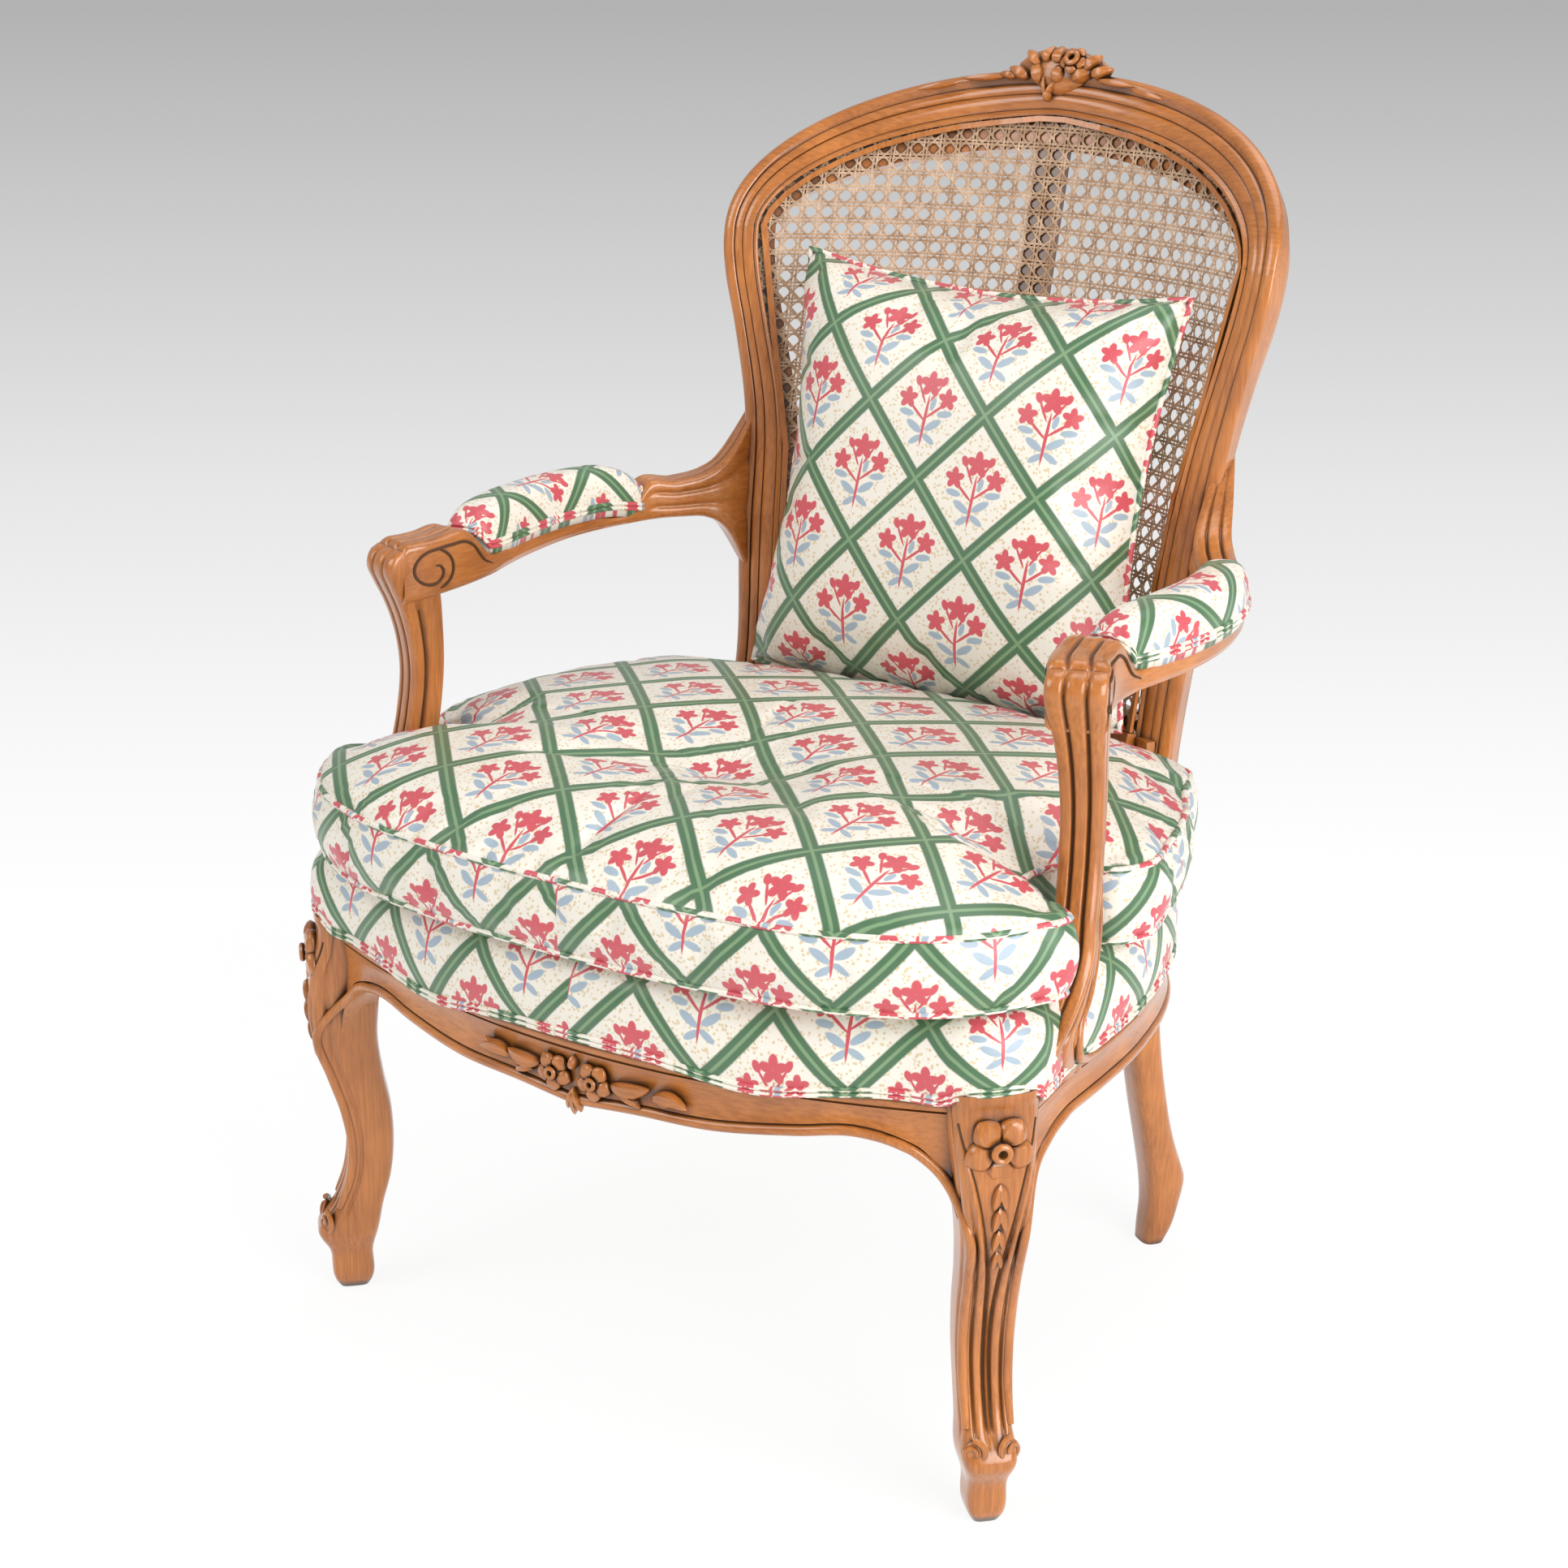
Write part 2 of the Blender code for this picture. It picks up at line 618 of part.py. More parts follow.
def make_spline(parts):
    """Reed that wedges the edge of the cane in its rebate."""
    rear = REBATE_DEPTH - CANE_THICK - SPLINE_FIT
    edge = opening_outline()
    out = outline_normals(edge)
    outer, inner = (edge - inset * out for inset in (SPLINE_INSET, SPLINE_INSET + SPLINE_WIDTH))
    corners = (
        back_point(*outer.T, rear),
        back_point(*outer.T, rear - SPLINE_HEIGHT),
        back_point(*inner.T, rear - SPLINE_HEIGHT),
        back_point(*inner.T, rear),
    )
    item = skin("cane_spline", np.stack(corners, axis=1), parts, ring_of_rings=True)
    return paint(item, CANE, 0.5)


def make_lower_rail(parts):
    """Curved rail under the cane, with the step of the rebate along its top."""
    low, high, deep, soft = LOWER_RAIL_Z, LOWER_RAIL_TOP, LOWER_RAIL_DEPTH, LOWER_RAIL_ROUND
    section = np.array(
        [
            (low, soft),
            (low + soft, 0.0),
            (OPENING_BOTTOM, 0.0),
            (OPENING_BOTTOM, REBATE_DEPTH),
            (high, REBATE_DEPTH),
            (high, deep - soft),
            (high - soft, deep),
            (low + soft, deep),
            (low, deep - soft),
        ]
    )
    half = opening_half(OPENING_BOTTOM)[0]
    stations = np.linspace(-half, half, SHEET_COLUMNS)
    rings = [back_point(x, section[:, 0], section[:, 1]) for x in stations]
    return paint(skin("lower_back_rail", rings, parts), FRUITWOOD, 0.35)


def brace_skin(name, slack, front, group):
    """Upright behind the cane, let into the lower rail and the crest."""
    rings = []
    depth = REBATE_DEPTH + CLEAR + BRACE_DEPTH + slack - front
    section = rounded(BRACE_WIDTH + 2 * slack, depth, BRACE_ROUND, 1)
    low = LOWER_RAIL_TOP - BRACE_HOUSING - slack
    high = JOINT_Z + LEDGE_RISE + BRACE_HOUSING + slack
    for z in np.linspace(low, high, 3):
        rings.append(back_point(section[:, 0], z, front + depth / 2 + section[:, 1]))
    return skin(name, rings, group)


def make_brace(parts, cutters):
    brace_skin("back_brace_housing", CLEAR, REBATE_DEPTH - BRACE_ROUND, cutters)
    return paint(brace_skin("back_brace", 0.0, REBATE_DEPTH + CLEAR, parts), FRUITWOOD, 0.35)


def make_front_leg(side, label, parts):
    """Cabriole leg: a rounded square that bows out at the knee and toe, faced to the diagonal."""
    heights = [row[0] for row in LEG_ROWS]
    outward = np.array([side, -1.0, 0.0]) / math.sqrt(2)
    across = np.array([1.0, side, 0.0]) / math.sqrt(2)
    rings = []
    for z, (bow, thick, wide) in zip(heights, through(LEG_ROWS, heights)):
        section = rounded(thick, wide, min(LEG_ROUND, 0.3 * wide))
        centre = np.array([side * FRONT_FOOT_X, FRONT_FOOT_Y, z]) + bow * outward
        rings.append(centre + section[:, :1] * outward + section[:, 1:] * across)
    return paint(skin(f"front_leg_{label}", rings, parts), FRUITWOOD, 0.35)


def front_face(x):
    """Plan of the front rail: a bow."""
    return FRONT_Y + FRONT_BOW * np.square(np.asarray(x) / FRONT_HALF)


def side_face(y):
    return through(SIDE_ROWS, y)[:, 0]


def rail_section(low):
    """Rail section as inward distance and height: bead, show face, rebate for the cover, back."""
    return np.array(
        [
            (RAIL_THICK, low + RAIL_BEAD / 3),
            (RAIL_BEAD, low),
            (RAIL_BEAD / 6, low + RAIL_BEAD / 3),
            (0.0, low + RAIL_BEAD),
            (RAIL_BEAD / 2, low + 1.7 * RAIL_BEAD),
            (RAIL_BEAD / 6, low + 2.7 * RAIL_BEAD),
            (0.0, SHOW_TOP),
            (UPHOLSTERY_REBATE, SHOW_TOP),
            (UPHOLSTERY_REBATE, RAIL_TOP),
            (RAIL_THICK, RAIL_TOP),
        ]
    )


def make_front_rail(parts):
    rings = []
    reach = FRONT_HALF + RAIL_REACH
    for x in np.linspace(-reach, reach, 21):
        section = rail_section(through(FRONT_EDGE_ROWS, abs(x))[0, 0])
        slope = 2 * FRONT_BOW * x / FRONT_HALF**2
        inward = np.array([-slope, 1.0]) / math.hypot(slope, 1.0)
        place = np.array([x, front_face(x)]) + section[:, :1] * inward
        rings.append(np.column_stack([place, section[:, 1]]))
    return paint(skin("front_rail", rings, parts), FRUITWOOD, 0.35)


def side_inward(y, side):
    slope = (side_face(y + 0.002)[0] - side_face(y - 0.002)[0]) / 0.004
    return np.array([-side, slope]) / math.hypot(1.0, slope)


def make_side_rail(side, label, parts):
    rings = []
    for y in np.linspace(SIDE_START_Y, SIDE_END_Y, 15):
        section = rail_section(through(SIDE_EDGE_ROWS, y)[0, 0])
        place = np.array([side * side_face(y)[0], y]) + section[:, :1] * side_inward(y, side)
        rings.append(np.column_stack([place, section[:, 1]]))
    return paint(skin(f"side_rail_{label}", rings, parts), FRUITWOOD, 0.35)


def make_rear_rail(parts):
    reach = through(STILE_ROWS, RAIL_TOP)[0, 0]
    size = (2 * reach, REAR_RAIL_THICK, RAIL_TOP - REAR_RAIL_Z)
    centre = (0.0, REAR_RAIL_Y + REAR_RAIL_THICK / 2, (RAIL_TOP + REAR_RAIL_Z) / 2)
    return paint(box("rear_rail", size, centre, parts), BEECH, 0.55)


def arm_frame(station, side):
    """Centre, sideways direction, top, bottom and width of the arm at a station."""
    x, y, top, bottom, width = through(ARM_ROWS, station)[0]
    ahead = through(ARM_ROWS, min(station + 0.02, 1.0))[0]
    behind = through(ARM_ROWS, max(station - 0.02, 0.0))[0]
    along = np.array([ahead[0] - behind[0], ahead[1] - behind[1]])
    if station == 0.0:
        along = np.array([-math.sin(ARM_TIP_TURN), math.cos(ARM_TIP_TURN)])
    along = along / np.linalg.norm(along)
    sideways = np.array([along[1], -along[0]])
    return np.array([side * x, y]), sideways * np.array([side, 1.0]), top, bottom, width


def make_arm(side, label, parts):
    rings = []
    for station in (0.0, *ARM_STEPS, 1.0):
        centre, sideways, top, bottom, width = arm_frame(station, side)
        section = rounded(width, top - bottom, ARM_ROUND)
        plan = centre + section[:, :1] * sideways
        rings.append(np.column_stack([plan, (top + bottom) / 2 + section[:, 1]]))
    return paint(skin(f"arm_{label}", rings, parts), FRUITWOOD, 0.35)


def make_pad(side, label, parts, cutters):
    """Arm pad: a stuffed roll, fullest in the middle, trimmed to the arm below it."""
    rings = []
    turns = np.linspace(0.0, math.pi, 9)
    for share in np.linspace(0.0, 1.0, 12):
        station = PAD_START + (PAD_END - PAD_START) * share
        centre, sideways, _, bottom, width = arm_frame(station, side)
        seat = through(ARM_ROWS, PAD_START + (PAD_END - PAD_START) * (0.2 + 0.6 * share))[0, 2]
        full = (1 - (2 * share - 1) ** 6) ** 0.5
        half = (width / 2 + PAD_OVERHANG * full) * (PAD_END_WIDTH + (1 - PAD_END_WIDTH) * full)
        rise = PAD_RISE * (PAD_END_RISE + (1 - PAD_END_RISE) * full)
        u = np.sign(np.cos(turns)) * np.abs(np.cos(turns)) ** 0.7 * half
        v = np.sin(turns) ** 0.75 * rise
        plan = centre + u[:, None] * sideways
        under = np.array([[-0.9 * half, -PAD_TUCK], [0.9 * half, -PAD_TUCK]])
        below = np.column_stack([centre + under[:, :1] * sideways, seat + under[:, 1]])
        rings.append(np.vstack([np.column_stack([plan, seat + v]), below]))
    item = skin(f"arm_pad_{label}", rings, parts)
    fit_round(item, [bpy.data.objects[f"arm_{label}"]], cutters.objects)
    return paint(item, LINEN, 0.6)


def make_post(side, label, parts):
    arm_seat = 0.5 * (ARM_ROWS[1][3] + ARM_ROWS[1][4])
    heights = (SHOW_TOP - CLEAR, *POST_STEPS, arm_seat)
    rings = []
    for z, (x, y, width, depth) in zip(heights, through(POST_ROWS, heights)):
        section = rounded(width, depth, ARM_ROUND)
        level = np.full(len(section), z)
        rings.append(np.column_stack([side * (x + section[:, 0]), y + section[:, 1], level]))
    return paint(skin(f"arm_post_{label}", rings, parts), FRUITWOOD, 0.35)


def closed_curve(points, count):
    """Smooth closed curve through plan points, at equal shares of its length."""
    points = np.asarray(points, float)
    ring = np.vstack([points[-2:], points, points[:3]])
    run = np.concatenate([[0.0], np.cumsum(np.linalg.norm(np.diff(ring, axis=0), axis=1))])
    low, high = run[2], run[2 + len(points)]
    dense = through(np.column_stack([run, ring]), np.linspace(low, high, count, endpoint=False))
    return dense


def outline_normals(points):
    along = np.roll(points, -1, axis=0) - np.roll(points, 1, axis=0)
    out = np.column_stack([along[:, 1], -along[:, 0]])
    return out / np.linalg.norm(out, axis=1)[:, None]


def mirrored(half):
    """Whole outline, counter-clockwise, from its right half listed from front to rear."""
    half = np.asarray(half, float)
    left = half[::-1] * np.array([-1.0, 1.0])
    keep = left[np.abs(left[:, 0]) > 1e-6]
    return np.vstack([half, keep])


def deck_outline():
    """Outer edge of the seat at the rails, rounded over the front legs."""
    front = [(x, front_face(x)) for x in np.linspace(0.0, FRONT_HALF - DECK_CORNER, 6)]
    corner_x = side_face(FRONT_FOOT_Y)[0]
    corner = [(corner_x - 0.75 * DECK_CORNER, front_face(FRONT_HALF) + 0.2 * DECK_CORNER)]
    stations = np.linspace(FRONT_FOOT_Y + 0.5 * DECK_CORNER, SIDE_END_Y, 9)
    side = [(side_face(y)[0], y) for y in stations]
    rear_y = REAR_RAIL_Y + REAR_RAIL_THICK
    rear = [(x, rear_y) for x in (0.6 * side[-1][0], 0.0)]
    return mirrored(front + corner + side + rear)


def make_deck(parts, cutters, neighbours):
    """Tight seat: skirt in the rail rebate, rolled edge and a flat top for the cushion."""
    edge = deck_outline()
    out = outline_normals(edge)
    web_top = RAIL_TOP + 2 * (WEB_THICK + CLEAR) + CLEAR
    skirt = UPHOLSTERY_REBATE + CLEAR
    profile = (
        (RAIL_THICK, web_top),
        (skirt, web_top),
        (skirt, SHOW_TOP - CLEAR),
        (0.0, SHOW_TOP - CLEAR),
        (-DECK_BULGE, SHOW_TOP + 0.4 * (DECK_TOP - SHOW_TOP)),
        (0.07 * DECK_ROLL, SHOW_TOP + 0.75 * (DECK_TOP - SHOW_TOP)),
        (0.43 * DECK_ROLL, SHOW_TOP + 0.94 * (DECK_TOP - SHOW_TOP)),
        (DECK_ROLL, DECK_TOP),
    )
    rings = [np.column_stack([edge - inset * out, np.full(len(edge), z)]) for inset, z in profile]
    item = skin("seat_deck", rings, parts)
    fit_round(item, neighbours, cutters.objects)
    return paint(item, LINEN, 0.7)


def make_webbing(parts):
    """Jute straps tacked across the rail tops: three front to back, three side to side over them."""
    made = []
    rear_y = REAR_RAIL_Y + WEB_LAP
    low = RAIL_TOP + CLEAR + WEB_THICK / 2
    for number, x in enumerate(WEB_LONG_X, 1):
        front_y = front_face(abs(x) + WEB_WIDTH / 2) + RAIL_THICK - WEB_LAP
        size = (WEB_WIDTH, rear_y - front_y, WEB_THICK)
        made.append(box(f"webbing_long_{number}", size, (x, (rear_y + front_y) / 2, low), parts))
    high = low + WEB_THICK + CLEAR
    for number, y in enumerate(WEB_CROSS_Y, 1):
        reach = side_face(y + WEB_WIDTH / 2)[0] - RAIL_THICK + WEB_LAP
        size = (2 * reach, WEB_WIDTH, WEB_THICK)
        made.append(box(f"webbing_cross_{number}", size, (0.0, y, high), parts))
    for item in made:
        paint(item, JUTE, 0.9)


def cushion_half():
    """Right half of the T cushion in plan: ears before the posts, notches round them, full sides."""
    posts = through(POST_ROWS, np.linspace(CUSHION_FOOT, POST_ROWS[-1][0], 9))
    inner = (posts[:, 0] - posts[:, 2] / 2).min() - CUSHION_NOTCH
    front = (posts[:, 1] - posts[:, 3] / 2).min() - CUSHION_NOTCH
    rear = (posts[:, 1] + posts[:, 3] / 2).max() + CUSHION_NOTCH
    ear, side, head, tail = CUSHION_EAR_X, CUSHION_SIDE_X, CUSHION_FRONT_Y, CUSHION_REAR_Y
    depth = front - head
    return (
        (0.0, head),
        (0.35 * ear, head + 0.03 * depth),
        (0.65 * ear, head + 0.15 * depth),
        (0.87 * ear, head + 0.42 * depth),
        (0.97 * ear, head + 0.72 * depth),
        (ear, head + 0.92 * depth),
        (0.97 * ear, front - 0.4 * CUSHION_ROUND),
        (inner + CUSHION_ROUND, front),
        (inner, front + CUSHION_ROUND),
        (inner, rear - CUSHION_ROUND),
        (inner + CUSHION_ROUND, rear),
        (0.96 * side, rear + 0.8 * CUSHION_ROUND),
        (side, rear + 3 * CUSHION_ROUND),
        *((side_face(y)[0] + over, y) for y, over in CUSHION_OVERHANG),
        *((share * side, tail - before) for share, before in CUSHION_REAR),
        (0.0, tail),
    )


def make_cushion(parts):
    """Boxed cushion: flat foot, bulging border, crown with one sewn tuft."""
    edge = closed_curve(mirrored(cushion_half()), 72)
    out = outline_normals(edge)
    centre = np.array([0.0, CUSHION_MIDDLE_Y])
    seam_low, seam_high = CUSHION_FOOT + CUSHION_SEAM, CUSHION_FOOT + CUSHION_BOXING
    rings = []

    def ring(share, inset, z):
        plan = centre + (edge - inset * out - centre) * share
        away = np.sum((plan - [0.0, CUSHION_TUFT_Y]) ** 2, axis=1)
        tuft = np.exp(-away / CUSHION_TUFT_REACH**2)
        dip = CUSHION_TUFT * tuft if z > seam_high else 0.0 * tuft
        rings.append(np.column_stack([plan, z - dip]))

    ring(0.90, 0.0, CUSHION_FOOT)
    ring(1.0, 1.5 * CUSHION_BULGE, seam_low)
    ring(1.0, -CUSHION_BULGE, seam_low + 0.35 * CUSHION_BOXING)
    ring(1.0, -0.5 * CUSHION_BULGE, seam_low + 0.70 * CUSHION_BOXING)
    ring(1.0, CUSHION_BULGE, seam_high)
    for share in (0.92, 0.78, 0.60, 0.40, 0.20, 0.06):
        ring(share, CUSHION_BULGE, seam_high + CUSHION_CROWN * (1 - share**2) ** CUSHION_FULLNESS)
    return paint(skin("seat_cushion", rings, parts), LINEN, 0.6)


def make_pillow(parts, cushion, cane):
    """Knife-edge pillow leaning on the cane: set down on the cushion, then back to the cane."""
    u, v = np.meshgrid(np.linspace(-1.0, 1.0, 15), np.linspace(-1.0, 1.0, 15))
    half = 0.25 * (PILLOW_TOP * (1 + v) + PILLOW_FOOT * (1 - v))
    wide = u * (half - PILLOW_DRAW * (1 - v**2))
    draw = np.where(v > 0.0, PILLOW_DRAW, PILLOW_FOOT_DRAW)
    tall = v * (PILLOW_HEIGHT / 2 - draw * (1 - u**2))
    swell = PILLOW_HALF_THICK * ((1 - u**4) * (1 - v**4)) ** 0.5 + PILLOW_SEAM
    turn = Matrix.Rotation(math.radians(PILLOW_TURN), 3, "Z")
    place = np.array(turn @ Matrix.Rotation(math.radians(-PILLOW_LEAN), 3, "X"))
    front = np.stack([wide, -swell, tall], axis=-1) @ place.T
    rear = np.stack([wide, PILLOW_REAR * swell, tall], axis=-1) @ place.T
    shift = np.array([PILLOW_X, PILLOW_TRIAL_Y, PILLOW_TRIAL_Z])
    points = np.concatenate([front.reshape(-1, 3), rear.reshape(-1, 3)])
    down, back = Vector((0.0, 0.0, -1.0)), Vector((0.0, 1.0, 0.0))
    seats = ((cushion, down, 2 * CLEAR), (cane, back, PILLOW_BACK_GAP))
    for target, direction, rest in (*seats, *seats, *seats):
        bm = bmesh.new()
        bm.from_mesh(target.data)
        tree = BVHTree.FromBMesh(bm)
        bm.free()
        starts = (Vector(point + shift) - PILLOW_DROP * direction for point in points)
        hits = [tree.ray_cast(start, direction)[3] for start in starts]
        gap = min(hit for hit in hits if hit is not None) - PILLOW_DROP
        shift = shift + (gap - rest) * np.array(direction)
    bm = bmesh.new()
    sheets = []
    for sheet in (front, rear):
        sheets.append([[bm.verts.new(point + shift) for point in row] for row in sheet])
    last = len(u) - 1
    for i in range(last):
        for j in range(last):
            for sheet in sheets:
                bm.faces.new((sheet[i][j], sheet[i][j + 1], sheet[i + 1][j + 1], sheet[i + 1][j]))
    first, second = (np.array(sheet, dtype=object) for sheet in sheets)
    for end in (0, last):
        for near, far in ((first[end], second[end]), (first[:, end], second[:, end])):
            for i in range(last):
                bm.faces.new((near[i], near[i + 1], far[i + 1], far[i]))
    return paint(link("back_pillow", bm, parts), LINEN, 0.6)


def make_corner_block(name, corner, arms, side, parts):
    """Glue block across a seat corner."""
    start = np.array(corner)
    plan = [start, start + BLOCK_LEG * np.array(arms[0]), start + BLOCK_LEG * np.array(arms[1])]
    rings = [[(side * x, y, z) for x, y in plan] for z in (BLOCK_Z, BLOCK_Z + BLOCK_HEIGHT)]
    return paint(skin(name, rings, parts), BEECH, 0.6)


def turned(name, profile, seat, along, group):
    """Round body turned about an axis, from (distance along it, radius) pairs."""
    turn = np.array(axes(along))
    angles = np.arange(SCREW_SIDES) * 2 * math.pi / SCREW_SIDES
    rings = []
    for run, radius in profile:
        circle = np.column_stack([radius * np.cos(angles), radius * np.sin(angles)])
        rings.append(seat + np.column_stack([np.full(SCREW_SIDES, run), circle]) @ turn.T)
    return skin(name, rings, group)


def make_screw(name, face, along, parts, cutters, block, rail):
    """Screw through a corner block into a rail, with a counterbore for its head."""
    along = np.array([*along, 0.0])
    seat = np.array([*face, BLOCK_Z + BLOCK_HEIGHT / 2]) - SCREW_COVER * along
    profile = (
        (-SCREW_HEAD_HEIGHT, SCREW_HEAD),
        (0.0, SCREW_HEAD),
        (0.0, SCREW_SHANK),
        (SCREW_LENGTH, SCREW_SHANK),
    )
    bore = (
        (-SCREW_REACH, SCREW_HEAD + CLEAR),
        (CLEAR, SCREW_HEAD + CLEAR),
        (CLEAR, SCREW_SHANK + CLEAR),
        (SCREW_LENGTH + CLEAR, SCREW_SHANK + CLEAR),
    )
    hole = turned(name + "_bore", bore, seat, along, cutters)
    for host in (block, rail):
        boolean(host, hole, "DIFFERENCE")
    return paint(turned(name, profile, seat, along, parts), STEEL, 0.4, 1.0)


def rail_axis(y, side):
    """Middle of a side rail and its direction in plan."""
    inward = side_inward(y, side)
    middle = np.array([side * side_face(y)[0], y]) + RAIL_THICK / 2 * inward
    return middle, np.array([side * inward[1], -side * inward[0]])


def join_side(side, label, fixed, cutters):
    """Tenons of one side: rails to leg and stile, post to rail and arm, arm to stile."""
    front, rear, lower, crest = (fixed[key] for key in ("front", "rear", "lower", "crest"))
    stile, leg, rail, arm, post = fixed[label]
    slope = 2 * FRONT_BOW * FRONT_TENON_X / FRONT_HALF**2
    place = (side * FRONT_TENON_X, front_face(FRONT_TENON_X) + RAIL_THICK / 2, LEG_TENON_Z)
    tenon(front, leg, RAIL_TENON, place, (side, slope, 0.0), cutters)
    for y, z, size, host in (
        (SIDE_TENON_Y, LEG_TENON_Z, RAIL_TENON, leg),
        (SIDE_END_Y, SIDE_REAR_TENON_Z, SIDE_REAR_TENON, stile),
    ):
        middle, along = rail_axis(y, side)
        tenon(rail, host, size, (*middle, z), (*along, 0.0), cutters)
    place = (side * REAR_TENON_X, REAR_RAIL_Y + REAR_RAIL_THICK / 2, REAR_TENON_Z)
    tenon(rear, stile, REAR_TENON, place, (1.0, 0.0, 0.0), cutters)
    across = (0.0, 1.0, 0.0)
    place = (side * POST_TENON_X, POST_FOOT_TENON_Y, RAIL_TOP)
    tenon(post, rail, POST_TENON, place, (0.0, 0.0, 1.0), cutters, across)
    place = (side * ARM_ROWS[1][1], POST_TENON_Y, ARM_ROWS[1][4])
    tenon(post, arm, POST_TENON, place, (0.0, 0.0, 1.0), cutters, across)
    end, sideways, *_ = arm_frame(1.0, side)
    along = (side * sideways[1], -side * sideways[0], 0.0)
    tenon(arm, stile, ARM_TENON, (*end, ARM_TENON_Z), along, cutters)
    place = back_point(side * CREST_TENON_X, JOINT_Z, TENON_DEPTH)
    tenon(stile, crest, CREST_TENON, place, (0.0, BACK_RAKE, 1.0), cutters, (1.0, 0.0, 0.0))
    sine = LOWER_TENON_X / BACK_RADIUS
    middle = (LOWER_RAIL_Z + OPENING_BOTTOM) / 2
    place = back_point(side * LOWER_TENON_X, middle, TENON_DEPTH)
    along = (math.sqrt(1 - sine**2), -side * sine, 0.0)
    tenon(lower, stile, LOWER_TENON, place, along, cutters)


def brace_corner(side, label, fixed, parts, cutters):
    """Corner blocks of one side and the two screws of each."""
    stile, leg, rail, *_ = fixed[label]
    front, rear = fixed["front"], fixed["rear"]
    fits = cutters.objects
    block = make_corner_block(f"front_block_{label}", FRONT_BLOCK, FRONT_BLOCK_ARMS, side, parts)
    fit_round(block, (leg, front, rail), fits)
    slope = 2 * FRONT_BOW * FRONT_SCREW_X / FRONT_HALF**2
    inward = np.array([-side * slope, 1.0]) / math.hypot(slope, 1.0)
    face = np.array([side * FRONT_SCREW_X, front_face(FRONT_SCREW_X)]) + RAIL_THICK * inward
    make_screw(f"front_screw_{label}", face, -inward, parts, cutters, block, front)
    inward = side_inward(SIDE_SCREW_Y, side)
    face = np.array([side * side_face(SIDE_SCREW_Y)[0], SIDE_SCREW_Y]) + RAIL_THICK * inward
    make_screw(f"front_side_screw_{label}", face, -inward, parts, cutters, block, rail)

    block = make_corner_block(f"rear_block_{label}", REAR_BLOCK, REAR_BLOCK_ARMS, side, parts)
    fit_round(block, (stile, rear, rail), fits)
    face = np.array([side * REAR_SCREW_X, REAR_RAIL_Y])
    make_screw(f"rear_screw_{label}", face, np.array([0.0, 1.0]), parts, cutters, block, rear)
    inward = side_inward(SIDE_REAR_SCREW_Y, side)
    face = np.array([side * side_face(SIDE_REAR_SCREW_Y)[0], SIDE_REAR_SCREW_Y])
    face = face + RAIL_THICK * inward
    make_screw(f"rear_side_screw_{label}", face, -inward, parts, cutters, block, rail)


def build():
    clear_scene()
    parts = new_collection(NAME)
    cutters = new_collection(NAME + "_cutters")
    fits = cutters.objects
    sides = ((-1.0, "left"), (1.0, "right"))

    crest = make_crest(parts, cutters)
    lower = make_lower_rail(parts)
    make_brace(parts, cutters)
    front = make_front_rail(parts)
    rear = make_rear_rail(parts)
    fixed = {"front": front, "rear": rear, "lower": lower, "crest": crest}
    makers = (make_stile, make_front_leg, make_side_rail, make_arm, make_post)
    for side, label in sides:
        fixed[label] = [make(side, label, parts) for make in makers]
    for item in (front, rear, *fixed["left"], *fixed["right"]):
        grown(item, 2 * CLEAR if item.name.startswith("arm_") else CLEAR, cutters)

    stiles = (fixed["left"][0], fixed["right"][0])
    rebate = plate("cane_rebate", CANE_FIT, -FRAME_DEPTH, REBATE_DEPTH, cutters)
    for item in (*stiles, crest):
        boolean(item, rebate, "DIFFERENCE")
    for item in (crest, lower):
        boolean(item, fits["back_brace_housing"], "DIFFERENCE")
    fit_round(lower, stiles, fits)
    fit_round(front, (fixed["left"][1], fixed["right"][1]), fits)
    fit_round(rear, stiles, fits)

    for side, label in sides:
        stile, leg, rail, arm, post = fixed[label]
        fit_round(rail, (leg, stile), fits)
        fit_round(arm, (stile,), fits)
        fit_round(post, (arm, rail), fits)
        join_side(side, label, fixed, cutters)
        brace_corner(side, label, fixed, parts, cutters)
        make_pad(side, label, parts, cutters)
    make_webbing(parts)
    cane = make_cane(parts, cutters)[0]
    make_spline(parts)
    cushion = make_cushion(parts)
    make_pillow(parts, cushion, cane)
    make_deck(parts, cutters, (front, rear, *fixed["left"], *fixed["right"]))


build()
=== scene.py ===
"""Looks of the caned fauteuil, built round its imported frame.

Metres, +Z up, the chair faces -Y. The shapes repeat the part's own formulas with finer steps,
and add mouldings, carving, the cane weave, welts and stuffing.
"""

import math

import bmesh
import bpy
import numpy as np
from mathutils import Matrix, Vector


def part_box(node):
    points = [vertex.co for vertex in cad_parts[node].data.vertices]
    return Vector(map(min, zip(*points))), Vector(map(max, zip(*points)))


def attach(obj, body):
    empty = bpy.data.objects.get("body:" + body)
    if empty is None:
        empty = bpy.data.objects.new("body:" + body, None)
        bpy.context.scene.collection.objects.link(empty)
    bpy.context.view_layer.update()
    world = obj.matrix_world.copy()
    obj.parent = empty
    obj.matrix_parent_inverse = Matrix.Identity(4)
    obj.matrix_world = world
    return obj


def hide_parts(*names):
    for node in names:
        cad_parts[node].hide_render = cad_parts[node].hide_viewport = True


bl_info = {
    "name": "Caned fauteuil",
    "version": (1, 0, 0),
    "blender": (4, 5, 0),
    "location": "View3D > Sidebar > Fauteuil",
    "description": "Dresses the packed frame of a carved armchair with a cane back",
    "category": "Object",
}

